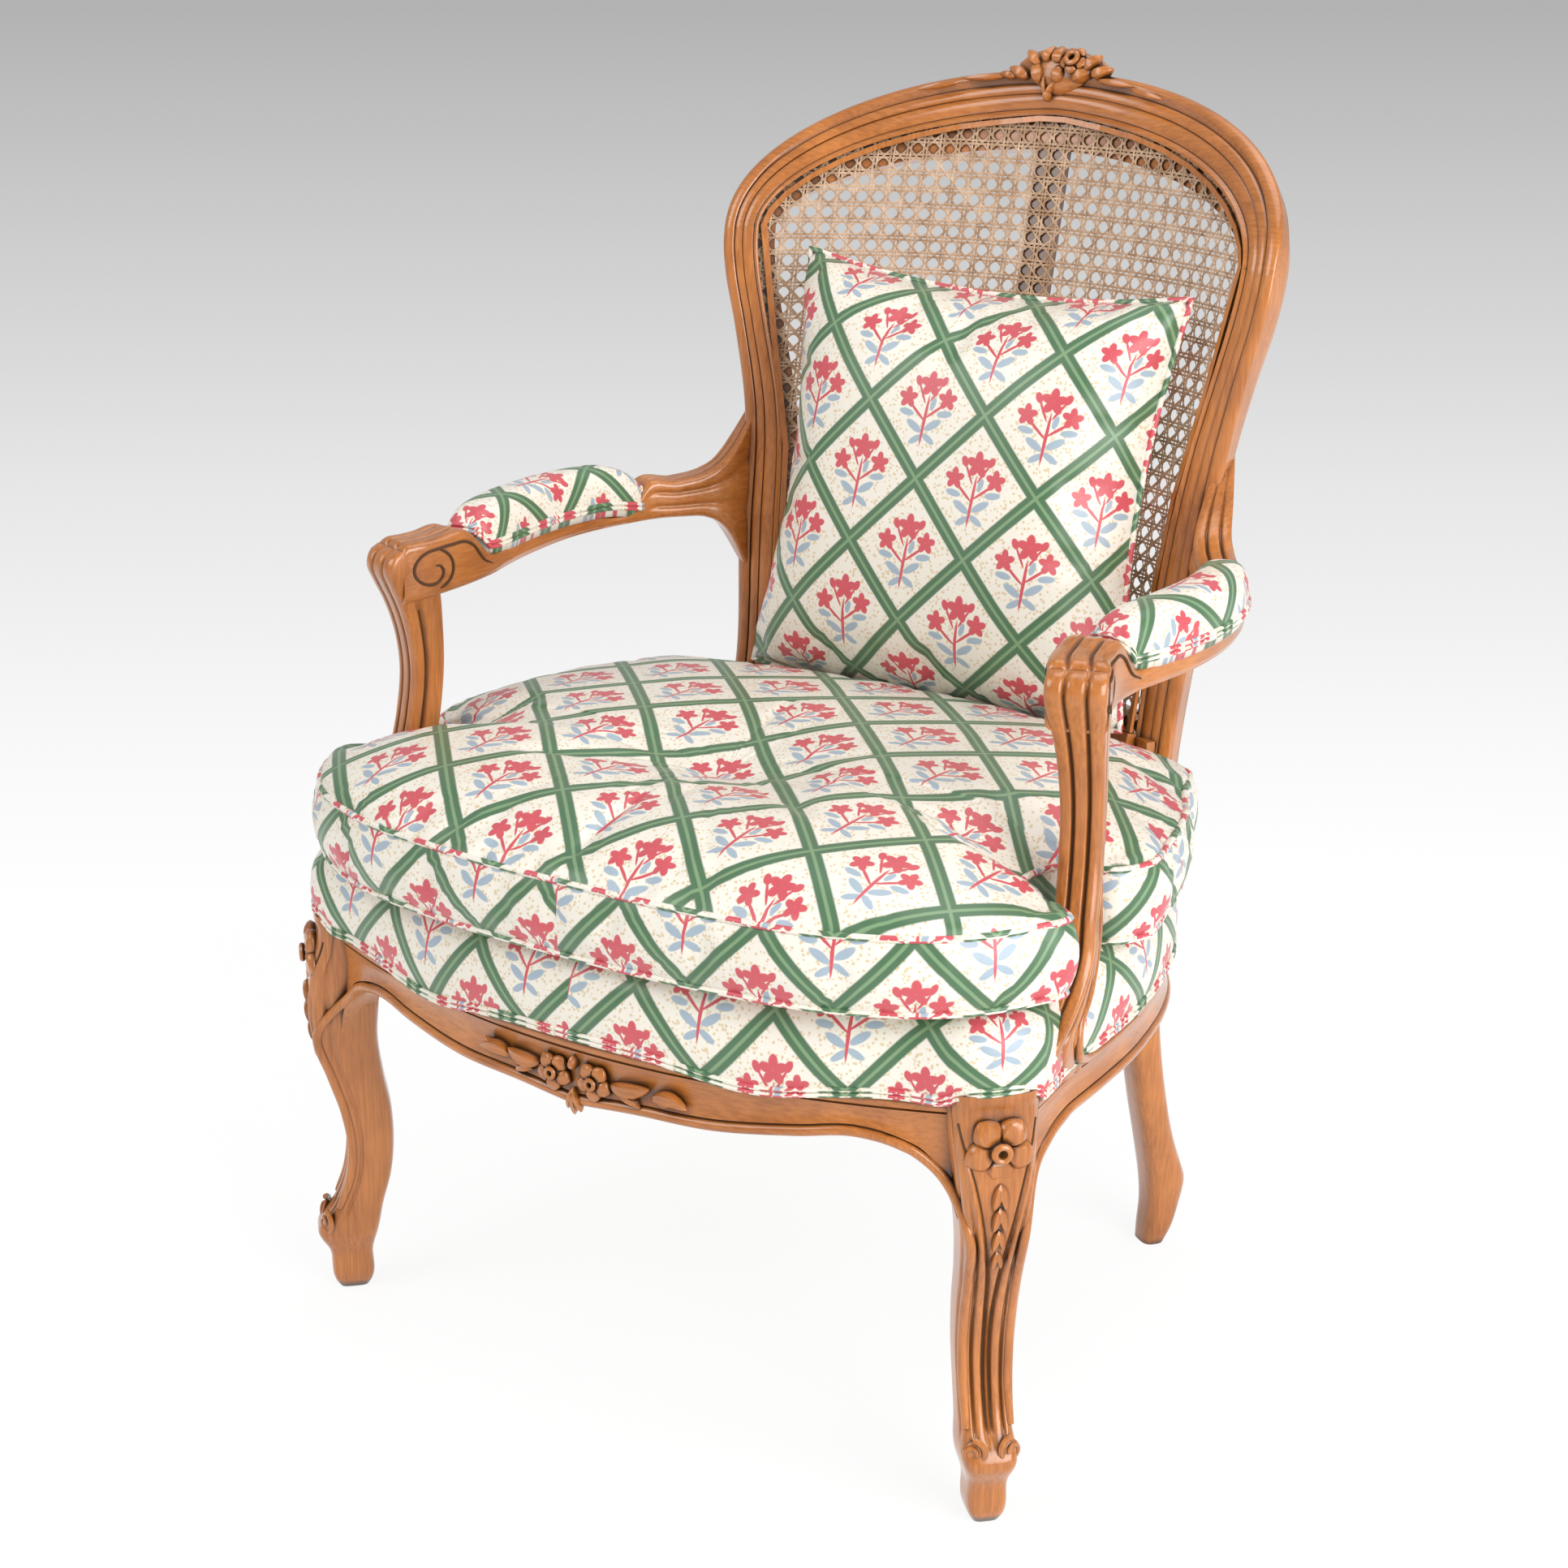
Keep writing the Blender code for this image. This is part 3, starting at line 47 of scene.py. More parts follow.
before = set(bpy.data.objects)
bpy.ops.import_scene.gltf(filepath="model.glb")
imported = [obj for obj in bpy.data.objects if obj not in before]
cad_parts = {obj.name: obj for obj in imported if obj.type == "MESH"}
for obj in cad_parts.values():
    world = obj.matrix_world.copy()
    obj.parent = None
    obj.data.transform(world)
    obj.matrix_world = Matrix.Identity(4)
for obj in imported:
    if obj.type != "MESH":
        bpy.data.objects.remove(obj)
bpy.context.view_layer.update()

# Back: concave cylinder, raked
BACK_RADIUS, BACK_RAKE = 0.370, 0.256
BACK_ANCHOR_X, BACK_ANCHOR_Y, BACK_ANCHOR_Z = 0.200, 0.2733, 0.965
RAKE_STARTS, RAKE_FULL = 0.380, 0.520
RELIEF_STARTS, RELIEF_FULL, STILE_SPLAY, BACK_QUIRKS = 0.380, 0.440, 0.07, (13, 33)
JOINT_Z, ARCH_RISE, ARCH_POWER = 0.842, 0.135, 2.25
OPENING_RISE, OPENING_POWER, LEDGE_RISE = 0.099, 1.9, 0.071
OPENING_BOTTOM, FRAME_DEPTH, REBATE_DEPTH = 0.462, 0.031, 0.009
FACE_TURN = 0.62
SLOPE = math.hypot(1.0, BACK_RAKE)
FRAME_ROLL, FRAME_ROLL_SHARE = 0.0046, 0.155
REBATE_LIP, REBATE_BLEND = 0.003, 0.004
# First row of a stile's grid that carries dark lines
STILE_LINES_FROM = 79
# Height, outer edge, inner edge, kick to the rear, depth
STILE_ROWS = (
    (0.000, 0.2220, 0.2010, 0.1412, 0.0200),
    (0.012, 0.2240, 0.1990, 0.1402, 0.0250),
    (0.035, 0.2245, 0.1985, 0.1372, 0.0310),
    (0.062, 0.2250, 0.1965, 0.1272, 0.0365),
    (0.074, 0.2245, 0.1960, 0.1212, 0.0345),
    (0.100, 0.2235, 0.1950, 0.1072, 0.0305),
    (0.150, 0.2210, 0.1925, 0.0802, 0.0290),
    (0.250, 0.2165, 0.1880, 0.0362, 0.0305),
    (0.360, 0.2120, 0.1835, 0.0112, 0.0330),
    (0.465, 0.2085, 0.1780, 0.0080, 0.0330),
    (0.580, 0.2155, 0.1745, 0.0000, 0.0340),
    (0.690, 0.2235, 0.1865, 0.0000, 0.0310),
    (0.760, 0.2378, 0.2040, 0.0000, 0.0300),
    (0.805, 0.2482, 0.2148, 0.0000, FRAME_DEPTH),
    (0.828, 0.2517, 0.2182, 0.0000, FRAME_DEPTH),
    (JOINT_Z, 0.2525, 0.2190, 0.0000, FRAME_DEPTH),
)
# Height, half width of the cane opening
OPENING_ROWS = (
    (0.420, 0.1820),
    (0.480, 0.1830),
    (0.580, 0.1865),
    (0.690, 0.1985),
    (0.760, 0.2160),
    (0.805, 0.2266),
    (0.828, 0.2302),
    (JOINT_Z, 0.2310),
)
# Carved petals and leaves of the crest: x, height, turn from upright in degrees, length, width,
# height and how far it is sunk
CREST_LEAVES = (
    (0.0040, 0.9800, 90.0, 0.0900, 0.0330, 0.0120, 0.006),
    (0.0040, 0.9760, 90.0, 0.0600, 0.0400, 0.0100, 0.003),
    (-0.0180, 0.9750, -14.0, 0.0230, 0.0140, 0.0110, 0.001),
    (-0.0230, 0.9860, -48.0, 0.0200, 0.0105, 0.0100, 0.000),
    (-0.0090, 0.9890, 28.0, 0.0165, 0.0110, 0.0105, 0.000),
    (0.0010, 0.9885, 5.0, 0.0170, 0.0145, 0.0110, 0.000),
    (0.0030, 0.9740, 15.0, 0.0190, 0.0145, 0.0120, 0.000),
    (0.0250, 0.9740, 68.0, 0.0220, 0.0130, 0.0110, 0.001),
    (0.0330, 0.9840, 50.0, 0.0210, 0.0120, 0.0095, 0.001),
    (0.0440, 0.9770, 72.0, 0.0220, 0.0110, 0.0095, 0.001),
    (-0.0360, 0.9740, -70.0, 0.0220, 0.0110, 0.0090, 0.001),
    (-0.0460, 0.9715, -84.0, 0.0170, 0.0075, 0.0075, 0.001),
    (-0.0095, 0.9650, -12.0, 0.0240, 0.0050, 0.0085, 0.000),
    (-0.0020, 0.9630, 34.0, 0.0230, 0.0050, 0.0085, 0.000),
    (-0.0060, 0.9575, 4.0, 0.0140, 0.0075, 0.0080, 0.000),
    (0.0590, 0.9690, 97.0, 0.0380, 0.0065, 0.0055, 0.000),
    (0.0950, 0.9620, 104.0, 0.0360, 0.0060, 0.0050, -0.002),
    (-0.0680, 0.9685, -97.0, 0.0400, 0.0065, 0.0055, 0.000),
    (-0.1070, 0.9600, -105.0, 0.0380, 0.0060, 0.0050, -0.002),
)
CREST_ROSE = (0.0165, 0.9850)
CREST_ROSE_RADIUS, CREST_ROSE_RING, CREST_ROSE_OUT = 0.0130, 0.0070, 0.0045

# Cane: depth of the net, thickness above and below a strand's edges, rise over a neighbour,
# width of a slanted strand as a share, depth of the crosswise and slanted layers
CANE_DEPTH, CANE_BELOW, CANE_ABOVE, CANE_RISE = REBATE_DEPTH - 0.0016, 0.0003, 0.0004, 0.0005
SLANT_WIDTH, CROSS_LAYER, SLANT_LAYER = 0.80, -0.0002, -0.0006
# Half the distance between a pair's strands in widths, reach of a line of the net, points tried
# along it, fewest of them that make a strand
CANE_PAIR, NET_REACH, NET_POINTS, NET_SHORTEST = 0.80, 0.8, 1601, 8

# Seat
FRONT_HALF, FRONT_Y, FRONT_BOW = 0.280, -0.362, 0.060
RAIL_TOP = 0.352
SHOW_TOP = RAIL_TOP - 0.020
RAIL_THICK, RAIL_BEAD, RAIL_REACH, RAIL_REBATE, RAIL_FILLET = 0.030, 0.006, 0.014, 0.005, 0.009
# Columns of the rail section's grid that run along its two quirks
RAIL_QUIRKS = (10, 20)
LEG_BEAD, POST_BEAD = 0.0040, 0.0036
QUIRK_LINE, RAIL_LINE, BACK_LINE = 0.0008, 0.0010, 0.0005
LEG_QUIRK, REED_QUIRK, POST_QUIRK, REED_AT = 0.0036, 0.0034, 0.0032, 0.36
FOOT_X, FOOT_Y, KNEE_TOP = FRONT_HALF + 0.029, FRONT_Y + 0.082, RAIL_TOP - 0.0085
LEG_POWER = 4.2
# Height, outward bow, thickness along the diagonal, width across it
LEG_ROWS = (
    (0.000, 0.0000, 0.0240, 0.0200),
    (0.004, 0.0000, 0.0290, 0.0245),
    (0.036, 0.0010, 0.0370, 0.0310),
    (0.055, 0.0025, 0.0510, 0.0410),
    (0.076, -0.0068, 0.0415, 0.0385),
    (0.104, -0.0164, 0.0380, 0.0380),
    (0.131, -0.0198, 0.0380, 0.0395),
    (0.164, -0.0175, 0.0415, 0.0405),
    (0.195, -0.0105, 0.0455, 0.0410),
    (0.230, -0.0035, 0.0530, 0.0450),
    (0.262, -0.0025, 0.0600, 0.0520),
    (0.290, -0.0040, 0.0600, 0.0580),
    (0.316, -0.0085, 0.0570, 0.0630),
    (KNEE_TOP, -0.0105, 0.0540, 0.0670),
)
# Heights where the leg's grooves set in, and where the sunk panel of the knee sets in and ends
GROOVES_FROM, PANEL_FROM, PANEL_TO, PANEL_SINK = (0.064, 0.080), (0.20, 0.26), (0.340, 0.330), 0.0030
KNEE_FLOWER_Z, KNEE_FLOWER, KNEE_RING = 0.304, 0.0265, 0.0075
HUSK_Z, HUSK_STEP, HUSK_SIZE, HUSK_LEAN = 0.280, 0.018, (0.022, 0.0075, 0.0060), 0.22
HUSK_SHARES = (1.0, 0.9, 0.8, 0.7)
FOOT_VOLUTE_Z, FOOT_VOLUTE = 0.064, 0.0102
# Grooves of the leg's outer face: half widths as shares of its own, depth of the outer pair
INNER_GROOVE, OUTER_GROOVE, OUTER_GROOVE_DEPTH = 0.085, 0.07, 0.0028
# Quirk down each side of the leg: place and half width as shares of its half depth, depth
SIDE_QUIRK = (0.42, 0.10, 0.0020)
# Shares from which a point of the leg's section lies on its outer face, or on a side
OUTER_FACE, SIDE_FACE, PANEL_EDGE = 0.55, 0.8, 0.15
# Beads of the leg: x on the front rail, y on the side rail, heights down the leg, then how far they
# lie inside and above the rails' edges, and their place on the leg in shares
BEAD_X, BEAD_Y = (0.205, 0.235, 0.260, 0.278), (-0.160, -0.205, -0.235, -0.254)
BEAD_HEIGHTS = (0.236, 0.200, 0.164, 0.131, 0.104, 0.078)
BEAD_INSIDE, BEAD_ABOVE, BEAD_OUT, BEAD_ACROSS = 0.0030, 0.0043, 0.83, 0.86
LEG_LINES = (0.084, 0.322)
# Height, places of the grooves down the leg's outer face as shares of its half width
LEG_GROOVES = (
    (0.060, 0.10, 0.55),
    (0.100, 0.12, 0.56),
    (0.170, 0.13, 0.58),
    (0.205, 0.22, 0.62),
    (0.240, 0.40, 0.70),
    (0.280, 0.62, 0.84),
    (0.310, 0.82, 0.96),
    (KNEE_TOP, 0.92, 1.05),
)
# Lower edge of the front rail: distance from the middle, height
FRONT_EDGE_ROWS = (
    (0.000, 0.2780),
    (0.050, 0.2825),
    (0.120, 0.2840),
    (0.180, 0.2910),
    (0.225, 0.2965),
    (0.252, 0.2905),
    (0.272, 0.2790),
    (0.286, 0.2580),
    (0.296, 0.2250),
)
# Leaves on the front rail: start, direction in degrees, length, width, bend
RAIL_LEAVES = (
    (0.0010, 0.3070, 90.0, 0.0120, 0.0070, 0.0),
    (0.0340, 0.3030, 8.0, 0.0360, 0.0120, 0.35),
    (0.0420, 0.2980, -22.0, 0.0200, 0.0070, -0.4),
    (0.0690, 0.3010, -4.0, 0.0320, 0.0110, -0.45),
    (0.0740, 0.3000, 14.0, 0.0220, 0.0065, 0.4),
    (-0.0310, 0.3040, 172.0, 0.0320, 0.0120, -0.35),
    (-0.0380, 0.2975, 196.0, 0.0180, 0.0070, 0.4),
    (-0.0600, 0.3020, 178.0, 0.0310, 0.0110, 0.45),
    (-0.0650, 0.3050, 163.0, 0.0220, 0.0065, -0.4),
    (0.0010, 0.2930, -72.0, 0.0200, 0.0045, 0.0),
    (0.0010, 0.2930, -90.0, 0.0225, 0.0050, 0.0),
    (0.0010, 0.2930, -108.0, 0.0200, 0.0045, 0.0),
)
RAIL_FLOWERS_X, RAIL_FLOWERS_Z, RAIL_FLOWER, RAIL_RING = (-0.0175, 0.0195), 0.3015, 0.0160, 0.0050
RAIL_LEAF_HEIGHT = 0.0068
# Outer face of a side rail, and its lower edge
SIDE_ROWS = (
    (-0.330, FRONT_HALF + 0.0600),
    (-0.250, FRONT_HALF + 0.0530),
    (-0.200, FRONT_HALF + 0.0470),
    (-0.140, FRONT_HALF + 0.0450),
    (-0.090, FRONT_HALF + 0.0410),
    (-0.040, FRONT_HALF + 0.0320),
    (0.000, FRONT_HALF + 0.0220),
    (0.050, 0.2830),
    (0.095, 0.2570),
    (0.150, 0.2230),
)
SIDE_EDGE_ROWS = (
    (-0.285, 0.2350),
    (-0.270, 0.2600),
    (-0.255, 0.2770),
    (-0.235, 0.2860),
    (-0.205, 0.2905),
    (-0.170, 0.2915),
    (0.000, 0.2890),
    (0.160, 0.2870),
)
SIDE_START_Y, SIDE_END_Y = FOOT_Y + 0.010, 0.140
REAR_FACE_Y = 0.152

# Arms: station, x, y, top, bottom, width
ARM_TIP_TURN, ARM_ROUND, ARM_NOSE, ARM_REAR_Z = 0.36, 0.006, 0.008, 0.615
ARM_ROWS = (
    (0.00, FRONT_HALF + 0.0345, -0.1865, 0.6270, 0.5770, 0.0450),
    (0.14, FRONT_HALF + 0.0225, -0.1570, 0.6290, 0.5810, 0.0430),
    (0.20, FRONT_HALF + 0.0185, -0.1320, 0.6305, 0.5830, 0.0420),
    (0.27, FRONT_HALF + 0.0190, -0.1045, 0.6055, 0.5850, 0.0425),
    (0.34, FRONT_HALF + 0.0240, -0.0790, 0.6095, 0.5865, 0.0435),
    (0.45, FRONT_HALF + 0.0310, -0.0350, 0.6110, 0.5880, 0.0440),
    (0.62, FRONT_HALF + 0.0290, 0.0360, 0.6120, 0.5905, 0.0400),
    (0.77, 0.2885, 0.0965, 0.6120, 0.5925, 0.0350),
    (0.80, 0.2825, 0.1085, 0.6260, 0.5930, 0.0340),
    (0.87, 0.2650, 0.1350, 0.6270, 0.5930, 0.0330),
    (0.92, 0.2500, 0.1580, 0.6320, 0.5905, 0.0320),
    (0.95, 0.2415, 0.1695, 0.6410, 0.5840, 0.0300),
    (0.98, 0.2330, 0.1835, 0.6640, 0.5660, 0.0240),
    (1.00, 0.2250, 0.1980, 0.6960, 0.5400, 0.0130),
)
PAD_START, PAD_END, PAD_RISE, PAD_OVERHANG, PAD_TUCK = 0.272, 0.79, 0.034, 0.003, 0.009
PAD_LEAN = 0.012
PAD_END_WIDTH, PAD_END_RISE = 0.86, 0.45
# Scroll cut in the arm's front end: middle, reach along and up, half width of the line, stem
SCROLL_Y, SCROLL_Z, SCROLL_LONG, SCROLL_TALL, SCROLL_LINE = -0.1690, 0.6035, 0.0190, 0.0165, 0.0011
SCROLL_STEM = (
    (0.00, -0.1030, 0.5965),
    (0.18, -0.1150, 0.6030),
    (0.34, -0.1265, 0.6165),
    (0.44, -0.1335, 0.6205),
    (0.70, -0.1500, 0.6215),
    (1.00, SCROLL_Y, SCROLL_Z + SCROLL_TALL),
)
# Stations of the arm: end of its finer steps, end of the front reeds, start of the rear reeds, start
# of the quirk along its foot, start of the rear end's lean
ARM_FINE, FRONT_REEDS, REAR_REEDS = 0.30, (0.205, 0.185), (0.79, 0.84)
FOOT_QUIRK_FROM, REAR_LEAN = (0.20, 0.26), (0.88, 1.0)
# Quirks along the arm's sides: place and half width as shares of its half height, depth
REAR_QUIRKS = ((0.35, 0.12, 0.0020), (-0.35, 0.12, 0.0020))
FOOT_QUIRK = (-0.72, 0.10, 0.0012)
# Heights on a post: start of its turn, end of the quirks down its sides, reach of its dark lines
POST_TURN_FROM, POST_QUIRKS_TO = (0.345, 0.420), (0.585, 0.572)
POST_LINES, POST_SIDE_LINES = (0.345, 0.606), (0.40, 0.572)
# Quirks down the post's sides: place and half width as shares of its half depth, depth
POST_QUIRK_AT = -0.20
POST_QUIRKS = ((POST_QUIRK_AT, 0.13, POST_QUIRK), (0.62, 0.10, 0.0014))
# Bead at the post's foot: heights down the post, how far inside its edges, then along the side rail
# y, height and how far it stands proud
FOOT_BEAD_HEIGHTS, FOOT_BEAD_INSIDE = (0.470, 0.440, 0.415, 0.395, 0.380, 0.366), 0.0020
FOOT_BEAD_ROWS = (
    (-0.2060, 0.3530, 0.0075),
    (-0.2010, 0.3425, 0.0065),
    (-0.1880, 0.3345, 0.0040),
    (-0.1680, 0.3302, 0.0010),
    (-0.1300, 0.3283, -0.0010),
    (-0.0850, 0.3275, -0.0010),
)
# Arm posts: height, x beyond the front legs, y, width, depth
POST_TURN = ARM_TIP_TURN
POST_ROWS = tuple(
    (height, FRONT_HALF + x, *rest)
    for height, x, *rest in (
        (0.322, 0.0325, -0.2120, 0.0310, 0.0620),
        (0.335, 0.0355, -0.2160, 0.0310, 0.0560),
        (0.350, 0.0400, -0.2235, 0.0310, 0.0460),
        (0.362, 0.0415, -0.2255, 0.0310, 0.0420),
        (0.376, 0.0400, -0.2085, 0.0310, 0.0395),
        (0.388, 0.0380, -0.1950, 0.0310, 0.0370),
        (0.403, 0.0360, -0.1830, 0.0310, 0.0350),
        (0.440, 0.0338, -0.1740, 0.0310, 0.0320),
        (0.480, 0.0310, -0.1650, 0.0310, 0.0300),
        (0.520, 0.0290, -0.1610, 0.0320, 0.0300),
        (0.555, 0.0287, -0.1645, 0.0350, 0.0340),
        (0.577, 0.0292, -0.1695, 0.0390, 0.0390),
        (0.592, 0.0300, -0.1745, 0.0425, 0.0430),
        (0.606, 0.0305, -0.1775, 0.0445, 0.0470),
        (0.613, 0.0304, -0.1768, 0.0445, 0.0455),
        (0.6185, 0.0300, -0.1750, 0.0440, 0.0415),
        (0.6215, 0.0295, -0.1722, 0.0430, 0.0355),
    )
)

# Deck, cushion and pillow
DECK_TOP, DECK_CORNER, DECK_BULGE, DECK_ROLL = RAIL_TOP + 0.045, 0.030, 0.003, 0.028
DECK_FOOT = RAIL_TOP + 0.0041
# Skirt of the deck: share of the way up, inset, share of the rise
DECK_ROWS = (
    (0.00, 0.0, 0.0),
    (0.35, -DECK_BULGE, 0.40),
    (0.60, 0.07 * DECK_ROLL, 0.75),
    (0.78, 0.43 * DECK_ROLL, 0.94),
    (1.00, DECK_ROLL, 1.0),
)
# Double welts: lifts of the pads' cords, how far out the deck's lie and their lifts in radii
PAD_WELTS, DECK_WELT_OUT, DECK_WELTS = (-0.001, 0.0028), 0.0012, (1.0, 2.9)
CUSHION_FOOT, CUSHION_BOXING, CUSHION_LIFT = DECK_TOP + 0.0006, 0.060, 0.085
CUSHION_CROWN, CUSHION_FULLNESS = 0.038, 0.6
CUSHION_TUFT, CUSHION_TUFT_Y, CUSHION_TUFT_REACH = 0.014, -0.170, 0.045
CUSHION_NOTCH, CUSHION_ROUND, CUSHION_SEAM, CUSHION_BULGE = 0.005, 0.010, 0.004, 0.002
CUSHION_FRONT_Y, CUSHION_REAR_Y, CUSHION_MIDDLE_Y = FRONT_Y - 0.010, 0.150, -0.165
CUSHION_EAR_X, CUSHION_SIDE_X = FRONT_HALF + 0.058, FRONT_HALF + 0.054
CUSHION_OVERHANG = ((-0.050, 0.012), (0.010, 0.010), (0.060, 0.006))
CUSHION_REAR = ((0.80, 0.048), (0.62, 0.026), (0.30, 0.006))
PILLOW_TOP, PILLOW_FOOT, PILLOW_HEIGHT, PILLOW_HALF_THICK = 0.376, 0.372, 0.361, 0.062
PILLOW_REAR, PILLOW_SEAM, PILLOW_DRAW, PILLOW_FOOT_DRAW = 0.85, 0.002, 0.018, -0.006
PILLOW_LEAN, PILLOW_TURN = 14.4, -1.5
PILLOW_SAG, PILLOW_TILT = 0.0025, 0.0055
# The deck cover's edge: depth, middle and reach of the dips, rise and reach over the knees
DIP_DEPTH, DIP_X, DIP_REACH, KNEE_RISE, KNEE_REACH, KNEE_OUT = 0.011, 0.150, 0.060, 0.0105, 0.036, 0.011
# Cloth simulation: frames, steps in each, pressure, slack, farthest moves, reach of a seam
CLOTH_FRAMES, CLOTH_QUALITY, CLOTH_PRESSURE, CLOTH_SLACK = 20, 6, 3.0, 0.02
CUSHION_MOVE, PILLOW_MOVE, SEAM_REACH, TUFT_HELD = 0.012, 0.010, 0.001, 0.012
# Meshes: points nearer than this become one; the crease angle of cloth, which has none
WELD, SMOOTH = 1e-5, 180.0

# Camera of the photograph
CAMERA_PLACE = (1.1665, -1.8085, 1.1590)
CAMERA_TURN, CAMERA_DROP, CAMERA_LENS, CAMERA_SENSOR = 34.06, 18.79, 63.354, 36.0
# Lamps: name, place, aim, size, power
LAMPS = (
    ("key", (-1.6, -2.6, 2.7), (0.0, 0.0, 0.5), 2.0, 46.0),
    ("fill", (2.7, -0.8, 1.5), (0.0, 0.0, 0.5), 2.0, 72.0),
    ("top", (0.3, 0.6, 3.2), (0.0, 0.0, 0.6), 2.0, 22.0),
)
# Painted light and shade of the paper sweep: greys it glows with for the camera, by one over the
# distance from the camera's foot
SWEEP_PAINTED_GREYS = (
    (0.044, "#afafaf"),
    (0.116, "#cecece"),
    (0.194, "#e8e8e8"),
    (0.275, "#f8f8f8"),
    (0.332, "#ffffff"),
)
SWEEP_GLOW, SWEEP_SHARE, SWEEP_HALF, NEAREST_SWEEP, ROOM_LIGHT = 1.05, 0.84, 45.0, 0.5, 0.45
SIDES = ((-1.0, "left"), (1.0, "right"))


def linear(code):
    """Linear colour of an sRGB hex code: each channel is undone by the sRGB curve."""
    channels = np.array([int(code[i : i + 2], 16) for i in (1, 3, 5)]) / 255
    low, high = channels / 12.92, ((channels + 0.055) / 1.055) ** 2.4
    return tuple(np.where(channels <= 0.04045, low, high))


def tint(name, code, description):
    """Colour property with an sRGB hex default."""
    return bpy.props.FloatVectorProperty(
        name=name, description=description, subtype="COLOR", size=3,
        default=linear(code), min=0.0, max=1.0,
    )  # fmt: skip


def length(name, metres, description):
    """Length property in metres."""
    return bpy.props.FloatProperty(
        name=name, description=description, default=metres, min=0.0, unit="LENGTH", precision=4
    )


class FauteuilFinish(bpy.types.PropertyGroup):
    """Colours of the chair."""

    honey: tint("Honey stain", "#cc7e39", "Fruitwood where the stain is thin")
    amber: tint("Amber stain", "#a05b1d", "Fruitwood along the darker grain")
    # Dark brown of the fruitwood's painted shade in its hollows, and of the dark cut lines
    shade_and_line_brown: tint("Glaze", "#44280f", "Dark glaze left in the hollows of the mouldings")
    cane: tint("Cane", "#dcbb9c", "Skin of the woven cane")
    cane_shade: tint("Cane shade", "#b08a6a", "Darker strands of the cane")
    beech: tint("Beech", "#b08a5c", "Bare beech of the hidden blocks")
    ground: tint("Ground", "#f0eadd", "Cream ground of the cover")
    speckle: tint("Speckle", "#dcc8a2", "Tan dots on the ground")
    trellis: tint("Trellis", "#4b704e", "Green bands of the trellis")
    trellis_line: tint("Trellis line", "#7c9c73", "Paler line along the middle of a band")
    flower: tint("Flower", "#d0525c", "Red flowers of the sprigs")
    leaf: tint("Leaf", "#a3b4c2", "Blue-grey leaves of the sprigs")
    jute: tint("Jute", "#a98a5b", "Webbing under the seat")


class FauteuilSizes(bpy.types.PropertyGroup):
    """Sizes that only the looks have."""

    cane_pitch: length("Cane pitch", 0.0142, "Distance between the pairs of cane strands")
    cane_strand: length("Cane strand", 0.0019, "Width of a cane strand")
    welt: length("Welt", 0.0028, "Radius of the cushion welts")
    small_welt: length("Small welt", 0.0021, "Radius of each cord of a double welt")
    trellis_wide: length("Trellis width", 0.111, "Width of one diamond of the trellis")
    trellis_tall: length("Trellis height", 0.117, "Height of one diamond of the trellis")
    trellis_band: length("Trellis band", 0.0115, "Width of a green band")


def through(rows, at):
    """Smooth curve through rows of (key, values): cubic pieces with averaged slopes."""
    rows = np.asarray(rows, float)
    key, value = rows[:, 0], rows[:, 1:]
    slope = np.gradient(value, key, axis=0)
    at = np.clip(np.atleast_1d(np.asarray(at, float)), key[0], key[-1])
    i = np.clip(np.searchsorted(key, at, side="right") - 1, 0, len(key) - 2)
    step = (key[i + 1] - key[i])[:, None]
    t = (at[:, None] - key[i][:, None]) / step
    near = (1 + 2 * t) * (1 - t) ** 2 * value[i] + t * (1 - t) ** 2 * step * slope[i]
    far = t**2 * (3 - 2 * t) * value[i + 1] + t**2 * (t - 1) * step * slope[i + 1]
    return near + far


def ease(low, high, at):
    """Smooth step from 0 at low to 1 at high."""
    t = np.clip((np.asarray(at, float) - low) / (high - low), 0.0, 1.0)
    return t * t * (3 - 2 * t)


def unit(vectors):
    """Vectors brought to length 1."""
    vectors = np.asarray(vectors, float)
    return vectors / np.linalg.norm(vectors, axis=-1, keepdims=True)


def run_along(path):
    """Distance along a path at each of its points."""
    return np.concatenate([[0.0], np.cumsum(np.linalg.norm(np.diff(path, axis=0), axis=1))])


def corners(values):
    """The four corner values of every cell of a grid, as (cell, corner, ...)."""
    cells = (values[:-1, :-1], values[:-1, 1:], values[1:, 1:], values[1:, :-1])
    return np.stack(cells, axis=2).reshape(-1, 4, *values.shape[2:])


def grid(points, around=False, caps=False, uv=None):
    """Quads over a grid of points. Columns close when around is set; caps close the last end, or
    both ends, by fans.

    uv has one more column than the points when around is set, so a pattern meets at the seam.
    """
    points = np.asarray(points, float)
    rows, columns = points.shape[:2]
    index = np.arange(rows * columns).reshape(rows, columns)
    if around:
        index = np.hstack([index, index[:, :1]])
    uv = np.zeros((*index.shape, 2)) if uv is None else np.asarray(uv, float)
    faces, flats = [corners(index)], [corners(uv)]
    points = points.reshape(-1, 3)
    if caps:
        ends = ((index[-1][::-1], uv[-1][::-1]), (index[0], uv[0]))
        for end, flat in ends[:1] if caps == "last" else ends:
            middle = np.full(len(end) - 1, len(points))
            points = np.vstack([points, points[end[:-1]].mean(axis=0)])
            centre = np.broadcast_to(flat[:-1].mean(axis=0), flat[1:].shape)
            faces.append(np.column_stack([end[1:], end[:-1], middle]))
            flats.append(np.stack([flat[1:], flat[:-1], centre], axis=1))
    return points, faces, flats


